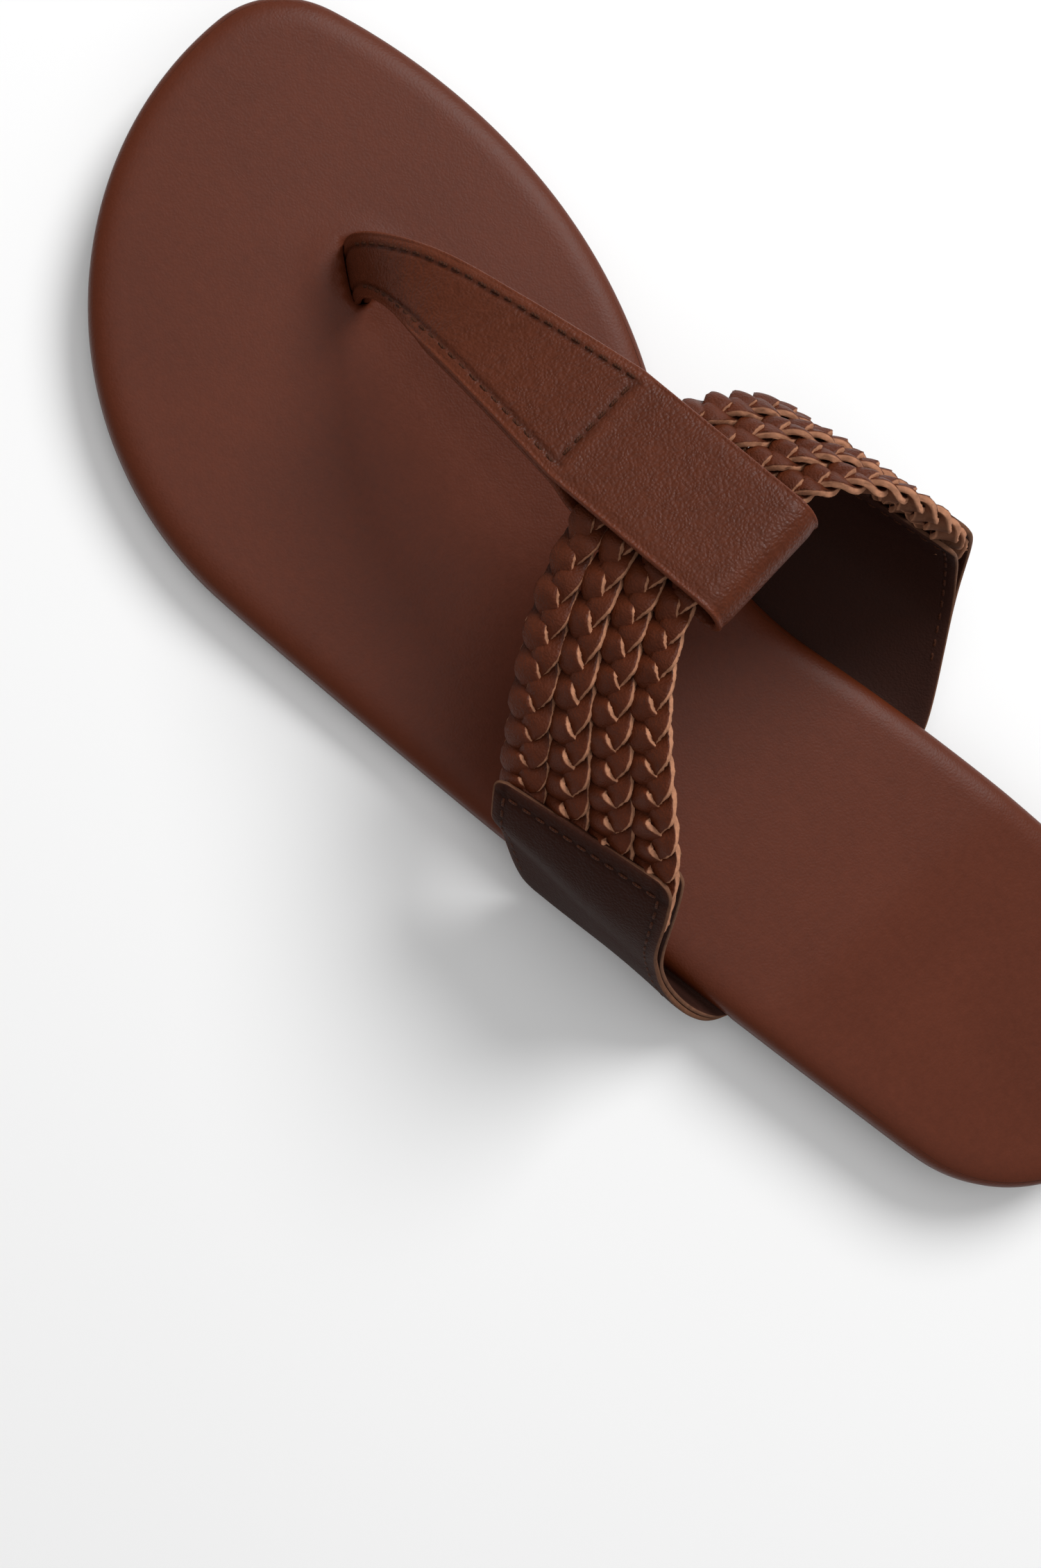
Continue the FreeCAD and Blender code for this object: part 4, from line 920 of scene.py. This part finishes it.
def lace_grid(band, sizes, plait, lace):
    """One lace. It swings from side to side once in each turn and up and down twice, and its flat section
    is tilted so that its front edge lies over the next lace. It is widest where it crosses on top."""
    share = 1 - (plait + 0.5) / sizes.count
    start = band.place_at(band.distance(OUTER_TOP) - band.tabs.pocket)
    end = band.place_at(band.distance(INNER_TOP) + band.tabs.pocket)
    ribbon = travelled(band.frame(np.linspace(start, end, 400), np.full(400, share))[0])[-1]
    turns = max(round(ribbon / sizes.period), 1)
    part = np.linspace(0, 1, turns * LACE_STEPS_PER_TURN + 1)
    place = start + (end - start) * part
    point, across, run, outward = band.frame(place, np.full(len(part), share))
    room = band.width(place) / sizes.count
    narrowing = NARROWEST + (1 - NARROWEST) * room / room.max()
    angle = 2 * math.pi * (turns * part + lace / 3)
    rng = np.random.default_rng(plait * 3 + lace + 7)
    knots = rng.normal(0, 1, turns * KNOTS_PER_TURN + 2)
    wobble = soften(np.interp(part * turns * KNOTS_PER_TURN, np.arange(len(knots)), knots), 12)
    fullness = SLIMMEST + (1 - SLIMMEST) * np.sin(2 * angle - 0.25) ** 2
    half = (sizes.lace_width / 2 * fullness * narrowing)[:, None]
    swing = room * sizes.snug / 2 - sizes.lace_width * SWING_CLEARANCE * narrowing
    swing *= 1 + WOBBLE_SWING * wobble
    lift = sizes.height * np.sin(2 * angle) + WOBBLE_LIFT * wobble
    centre = point + across * (swing * np.sin(angle))[:, None] + outward * lift[:, None]
    path = unit(np.gradient(centre, axis=0))
    wide = unit(np.cross(outward, path))
    forward = np.sum(wide * run, axis=1)
    lean = math.tan(sizes.tilt) * forward - math.tan(sizes.roll) * (FIRST_PLAIT_ROLL if plait == 0 else 1.0)
    wide = unit(wide + outward * (lean * narrowing)[:, None])
    thick = unit(np.cross(path, wide))
    thick *= np.sign(np.sum(thick * outward, axis=1))[:, None]
    flat, up, bulge = section(9, 5)
    rounding = sizes.lace_leather / 2
    cut_edge = np.abs(flat) > 0.99
    sideways = flat * (half - rounding * 0.3) + bulge * rounding * 0.3
    sideways += RAGGED * rng.normal(0, 1, sideways.shape) * cut_edge
    lifted = up * rounding + CAMBER * (1 - flat ** 2)
    grid = centre[:, None] + wide[:, None] * sideways[..., None] + thick[:, None] * lifted[:, None]
    raw = np.where(up > 0.8, 0.0, np.where(cut_edge, 1.0, 0.3))
    # Painted shade where the lace dips under its neighbours.
    dark = UNDER_CROSSING_SHADE * smooth((0.5 - np.sin(2 * angle)) / 1.3)[:, None]
    return grid, {"raw": np.broadcast_to(raw, sideways.shape), "shade": np.broadcast_to(dark, sideways.shape)}


TAB_ROWS = 90
MARGIN_ROWS = 4
CORNER = 2.2 * MM
SEAM_DROP = 2.6 * MM
SIDE_SEAM = 2.0 * MM
SEAM_WIDTH = 0.5 * MM
SEAM_PRESS = 0.16 * MM
PLAIT_SWELL = 0.13 * MM
RIM_PRESS = 0.14 * MM
SIDE_SEAM_REACH = 30 * MM


def tab_wave(share, from_top):
    """Slow hills and hollows of a tab's leathers, none at the sewn top."""
    return 0.30 * MM * np.sin(share * 5.0) * np.sin(from_top / (9 * MM)) * smooth(from_top / (8 * MM))


def tab_grid(band, sizes, side, lining):
    """One leather of a tab. Its rows run up the band from the glued margin to the top edge, its columns
    go round the leather. The top corners are rounded, and the plaits' ends swell the pocket."""
    top, base = TAB_PLACES[side]
    thickness, way, puffed = (sizes.lining, -1, 0) if lining else (sizes.outer, 1, 1)
    place = base + (top - base) * np.linspace(0, 1, TAB_ROWS)
    width, from_top = band.width(place)[:, None], band.below(place, top)[:, None]
    cut = CORNER - np.sqrt(np.maximum(CORNER ** 2 - np.maximum(CORNER - from_top, 0) ** 2, 0))
    flat, up, bulge = section(57, 5)
    rounding = thickness / 2
    edge = rounding * 0.8 / width
    share = 0.5 + flat * (0.5 - cut / width) * (1 - edge) + bulge * edge
    point, _, _, outward = band.frame(np.repeat(place[:, None], len(flat), 1), share)
    side_gap = np.minimum(share, 1 - share) * width
    sewn = np.maximum(bell(from_top - SEAM_DROP, SEAM_WIDTH),
                      bell(side_gap - SIDE_SEAM, SEAM_WIDTH) * smooth(1 - from_top / SIDE_SEAM_REACH))
    plaits = np.abs(np.sin(math.pi * np.clip(share, 0, 1) * bpy.context.scene.plait_sizes.count))
    swell = PLAIT_SWELL * (plaits - 0.6) * smooth((sizes.pocket + 2 * MM - from_top) / (3 * MM)) * puffed
    swell *= smooth((from_top - SEAM_DROP) / (2.5 * MM)) * smooth((side_gap - SIDE_SEAM) / (2 * MM))
    face = up > 0.5
    relief = np.where(face, swell - SEAM_PRESS * sewn - RIM_PRESS * bell(side_gap, 1.0 * MM), swell * 0.4)
    lifted = way * (band.gap(place, top)[:, None] + rounding * (1 + up) + relief) + tab_wave(share, from_top)
    grid = point + outward * lifted[..., None]
    margin = [grid[0] - (0, side * reach, 0) for reach in np.linspace(sizes.margin, 0, MARGIN_ROWS + 1)[:-1]]
    # Worn mark: edge wear along the side edges, and a painted highlight along the rolled top edge. Shade mark:
    # painted shade along the seams.
    marks = {"raw": np.broadcast_to(np.where(np.abs(bulge) > 0.2, 0.8, 0.0), share.shape),
             "worn": np.clip(0.5 * bell(side_gap, 0.8 * MM) + 0.6 * bell(from_top, 1.0 * MM), 0, 1),
             "shade": np.where(face, sewn * 0.3, 0)}
    marks = {mark: np.concatenate((np.repeat(values[:1], MARGIN_ROWS, 0), values))
             for mark, values in marks.items()}
    return np.concatenate((margin, grid)), marks


# ---------------------------------------------------------------- seams

def stitch_places(points, outward, pitch):
    """Places one pitch apart along a line: point, direction along it and outward direction."""
    distance = travelled(points)
    wanted = np.arange(pitch / 2, distance[-1], pitch)
    spots, run, out = [pick(wanted, distance, rows) for rows in (points, np.gradient(points, axis=0), outward)]
    return spots, unit(run), unit(out)


RINGS, AROUND = 9, 8
STITCH_DIVE = 0.5 * MM
STITCH_SINK = 0.06 * MM
BAR_STEPS = 40
SEAM_STEPS = 80
SEAM_SHARE = 0.72


def thread_mesh(name, rows, sizes):
    """Separate stitches: each a short round thread that rises from one hole, lies on the leather and dives
    into the next. rows holds (points, directions, outward directions) arrays."""
    spots, along, outward = [np.concatenate(part)[:, None] for part in zip(*rows)]
    across = unit(np.cross(outward, along))
    share = np.linspace(-1, 1, RINGS)[:, None]
    turn = np.linspace(0, 2 * math.pi, AROUND, endpoint=False)[:, None]
    radius = sizes.thread / 2 * np.sqrt(np.clip(1.02 - np.abs(share) ** 6, 0.05, 1))
    middle = spots + along * sizes.stitch * 0.56 * share - outward * STITCH_DIVE * np.abs(share) ** 4
    ring = across[:, None] * np.cos(turn) * 1.05 + outward[:, None] * np.sin(turn) * 0.8
    grid = middle[:, :, None] + ring * radius[:, :, None]
    points = np.concatenate((grid.reshape(len(spots), -1, 3), middle[:, :1], middle[:, -1:]), 1)
    firsts = np.arange(len(points)) * points.shape[1]
    one = tube_faces(RINGS, AROUND)
    return build(name, points, [[corner + first for corner in face] for first in firsts.tolist() for face in one])


def tab_seam_rows(band, tabs, seams, side):
    """Stitches of one tab on both its faces: under the top edge and down the rear and front edges."""
    top, base = TAB_PLACES[side]
    under_top, low = [band.place_at(band.distance(top) - side * drop)
                      for drop in (SEAM_DROP, SEAM_SHARE * band.below(base, top))]
    places = np.linspace(under_top, low, SEAM_STEPS)
    inset = SIDE_SEAM / band.width(places)
    bar = np.full(SEAM_STEPS, under_top), np.linspace(inset[0], 1 - inset[0], SEAM_STEPS)
    rows = []
    for place, share in (bar, (places, inset), (places, 1 - inset)):
        point, _, _, outward = band.frame(place, share)
        gap, wave = band.gap(place, top), tab_wave(share, band.below(place, top))
        for way, thickness in ((1, tabs.outer), (-1, tabs.lining)):
            lift = wave + way * (gap + thickness - STITCH_SINK)
            rows.append(stitch_places(point + outward * lift[:, None], outward * way, seams.pitch))
    return rows


# ---------------------------------------------------------------- operators

def whole_band(scene):
    """The band at the scene's sizes."""
    return Band(scene.sole_sizes, ThongPath(scene.sole_sizes, scene.thong_sizes), scene.tab_sizes)


class FLIPFLOP_OT_materials(bpy.types.Operator):
    """Make the shared node groups and every material"""
    bl_idname = "flipflop.materials"
    bl_label = "Make Materials"

    def execute(self, context):
        tints = context.scene.flipflop_colours
        grain_group()
        tone_group()
        fuzz_group()
        both, shade = ("worn", "shade"), ("shade",)
        pale_strap, pale = tinted(tints.strap, 1.7, 0.004), tinted(tints.tab, 1.8, 0.004)
        cut = [part * 0.4 for part in tints.raw]
        # colour, worn colour (on the strap and tabs also a painted highlight), roughness, pebbles, depth in mm,
        # pores, creases, variation, marks
        leather("Footbed leather", tints.footbed, tints.rim, 0.44, 2200.0, 0.03, 0.5, 0.5, 0.35, both)
        leather("Strap leather", tints.strap, pale_strap, 0.42, 1900.0, 0.11, 0.4, 0.8, 0.6, both)
        leather("Lace leather", tints.lace, tints.lace, 0.50, 2600.0, 0.09, 0.5, 0.6, 0.7, shade, tints.raw)
        leather("Tab leather", tints.tab, pale, 0.62, 1900.0, 0.11, 0.35, 0.5, 0.4, both, cut, 0.07)
        leather("Lining leather", tints.lining, pale, 0.75, 2200.0, 0.06, 0.6, 0.4, 0.35, both, cut)
        leather("Sole rubber", tints.sole, tinted(tints.sole, 1.6), 0.7, 700.0, 0.10, 0.9, 0.2, 0.3, ())
        thread_material(tints.thread)
        return {"FINISHED"}


class FLIPFLOP_OT_sole(bpy.types.Operator):
    """Build the footbed's leather and finish the layers under it"""
    bl_idname = "flipflop.sole"
    bl_label = "Build Sole"

    def execute(self, context):
        cover = build("footbed_leather", *footbed_shell(context.scene.sole_sizes))
        dress(cover, BODY, "Footbed leather", "footbed_cover")
        for node in ("outsole", "heel_lift", "insole_board", "footbed_foam", "toe_anchor", "thong_tape"):
            paint(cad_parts[node], "Sole rubber")
        return {"FINISHED"}


class FLIPFLOP_OT_thong(bpy.types.Operator):
    """Build the folded thong and its seam"""
    bl_idname = "flipflop.thong"
    bl_label = "Build Thong"

    def execute(self, context):
        thong, seams = context.scene.thong_sizes, context.scene.seam_sizes
        path = ThongPath(context.scene.sole_sizes, thong)
        strap = tube("thong_strap_leather", *thong_grid(path, seams))
        dress(strap, THONG_BODY, "Strap leather", "thong_strap")
        reach, points, out = path.middle(200)
        open_part = reach > 0.03 * thong.seam_reach
        reach, points, out = reach[open_part], points[open_part], out[open_part]
        across = path.across(reach)
        inset = (path.breadth(reach) / 2 - seams.inset)[:, None]
        rows = []
        for way in (1, -1):
            level = out * way * (thong.tape / 2 + thong.leather - 0.08 * MM)
            for side in (1, -1):
                rows.append(stitch_places(points + across * side * inset + level, out * way, seams.pitch))
            ends = np.linspace(-1, 1, BAR_STEPS)[:, None] * (inset[-1] - seams.pitch / 2)
            bar = points[-1] + across[-1] * ends + level[-1]
            rows.append(stitch_places(bar, np.repeat(out[-1:] * way, BAR_STEPS, 0), seams.pitch))
        thread = thread_mesh("thong_seam_thread", rows, seams)
        dress(thread, THONG_BODY, "Sewing thread", "thong_stitching")
        return {"FINISHED"}


class FLIPFLOP_OT_plaits(bpy.types.Operator):
    """Weave the plaits, three laces each"""
    bl_idname = "flipflop.plaits"
    bl_label = "Weave Plaits"

    def execute(self, context):
        sizes, band = context.scene.plait_sizes, whole_band(context.scene)
        for plait in range(sizes.count):
            for lace in range(3):
                node = "plait_%d_lace_%s" % (plait + 1, "abc"[lace])
                piece = tube(node.replace("lace", "strand"), *lace_grid(band, sizes, plait, lace))
                dress(piece, BODY, "Lace leather", node)
        return {"FINISHED"}


class FLIPFLOP_OT_tabs(bpy.types.Operator):
    """Build the two tabs, each with its outer leather, lining and seam"""
    bl_idname = "flipflop.tabs"
    bl_label = "Build Tabs"

    def execute(self, context):
        tabs, seams, band = context.scene.tab_sizes, context.scene.seam_sizes, whole_band(context.scene)
        for side, name in ((1, "outer_side_tab_"), (-1, "inner_side_tab_")):
            for lining, part, slot, material in ((False, "outer", "tab_leather", "Tab leather"),
                                                 (True, "lining", "lining_leather", "Lining leather")):
                piece = tube(name + part + "_leather", *tab_grid(band, tabs, side, lining))
                dress(piece, BODY, material, name + part)
            thread = thread_mesh(name + "seam_thread", tab_seam_rows(band, tabs, seams, side), seams)
            dress(thread, BODY, "Sewing thread", name + "stitching")
        return {"FINISHED"}


FLOOR_REACH = 6.0
# Name, place in metres, diameter in metres and power in watts.
LAMPS = (("key", (0.15, -0.75, 0.75), 0.55, 9.2), ("fill", (-0.6, 0.3, 1.0), 1.2, 1.4),
         ("top", (0.25, -0.05, 1.1), 0.9, 2.6))
CAMERA_LENS = 39.82
CAMERA_PLACE = (0.0252, 0.0682, 0.3047)
CAMERA_TURNS = (0.41386, -8.94705, -132.06437)


class FLIPFLOP_OT_stage(bpy.types.Operator):
    """Set up the floor, the soft lights and the camera"""
    bl_idname = "flipflop.stage"
    bl_label = "Set Stage"

    def execute(self, context):
        scene = context.scene
        corners = [(-1, -1), (1, -1), (1, 1), (-1, 1)]
        mesh = bpy.data.meshes.new("studio_floor")
        mesh.from_pydata([(x * FLOOR_REACH, y * FLOOR_REACH, 0) for x, y in corners], [], [(0, 1, 2, 3)])
        floor = bpy.data.objects.new("studio_floor", mesh)
        scene.collection.objects.link(floor)
        shader = new_material("Studio floor")[1]
        shader["Base Color"].default_value = tinted(scene.flipflop_colours.floor)
        shader["Roughness"].default_value = 0.8
        paint(floor, "Studio floor")
        scene.world = bpy.data.worlds.new("Studio")
        scene.world.use_nodes = True
        background = scene.world.node_tree.nodes["Background"].inputs
        background["Color"].default_value = (1.0, 1.0, 1.0, 1.0)
        background["Strength"].default_value = 0.32
        for name, place, size, power in LAMPS:
            lamp = bpy.data.lights.new(name, "AREA")
            lamp.shape = "DISK"
            lamp.size = size
            lamp.energy = power
            holder = bpy.data.objects.new(name, lamp)
            holder.location = place
            holder.rotation_euler = (-Vector(place)).to_track_quat("-Z", "Y").to_euler()
            scene.collection.objects.link(holder)
        view = bpy.data.cameras.new("camera")
        view.lens = CAMERA_LENS
        view.sensor_width = 36.0
        view.clip_start = 0.01
        holder = bpy.data.objects.new("camera", view)
        holder.location = CAMERA_PLACE
        holder.rotation_euler = Euler([math.radians(turn) for turn in CAMERA_TURNS])
        scene.collection.objects.link(holder)
        scene.camera = holder
        scene.view_settings.view_transform = "Standard"
        return {"FINISHED"}


class FLIPFLOP_PT_panel(bpy.types.Panel):
    bl_idname = "FLIPFLOP_PT_panel"
    bl_label = "Flip Flop"
    bl_space_type = "VIEW_3D"
    bl_region_type = "UI"
    bl_category = "Flip Flop"

    def draw(self, context):
        for operator in OPERATORS:
            self.layout.operator(operator.bl_idname)
        for group in GROUPS:
            values = getattr(context.scene, group)
            for name in values.__annotations__:
                self.layout.prop(values, name)


GROUPS = {"sole_sizes": SoleSizes, "thong_sizes": ThongSizes, "plait_sizes": PlaitSizes,
          "tab_sizes": TabSizes, "seam_sizes": SeamSizes, "flipflop_colours": Colours}
OPERATORS = [FLIPFLOP_OT_materials, FLIPFLOP_OT_sole, FLIPFLOP_OT_thong, FLIPFLOP_OT_plaits, FLIPFLOP_OT_tabs,
             FLIPFLOP_OT_stage]


def register():
    for group in GROUPS.values():
        bpy.utils.register_class(group)
    for name, group in GROUPS.items():
        setattr(bpy.types.Scene, name, bpy.props.PointerProperty(type=group))
    for operator in OPERATORS:
        bpy.utils.register_class(operator)
    bpy.utils.register_class(FLIPFLOP_PT_panel)


def unregister():
    bpy.utils.unregister_class(FLIPFLOP_PT_panel)
    for operator in reversed(OPERATORS):
        bpy.utils.unregister_class(operator)
    for name in GROUPS:
        delattr(bpy.types.Scene, name)
    for group in reversed(list(GROUPS.values())):
        bpy.utils.unregister_class(group)


def main():
    register()
    for operator in OPERATORS:
        getattr(bpy.ops.flipflop, operator.bl_idname.split(".")[1])()


if __name__ == "__main__":
    main()
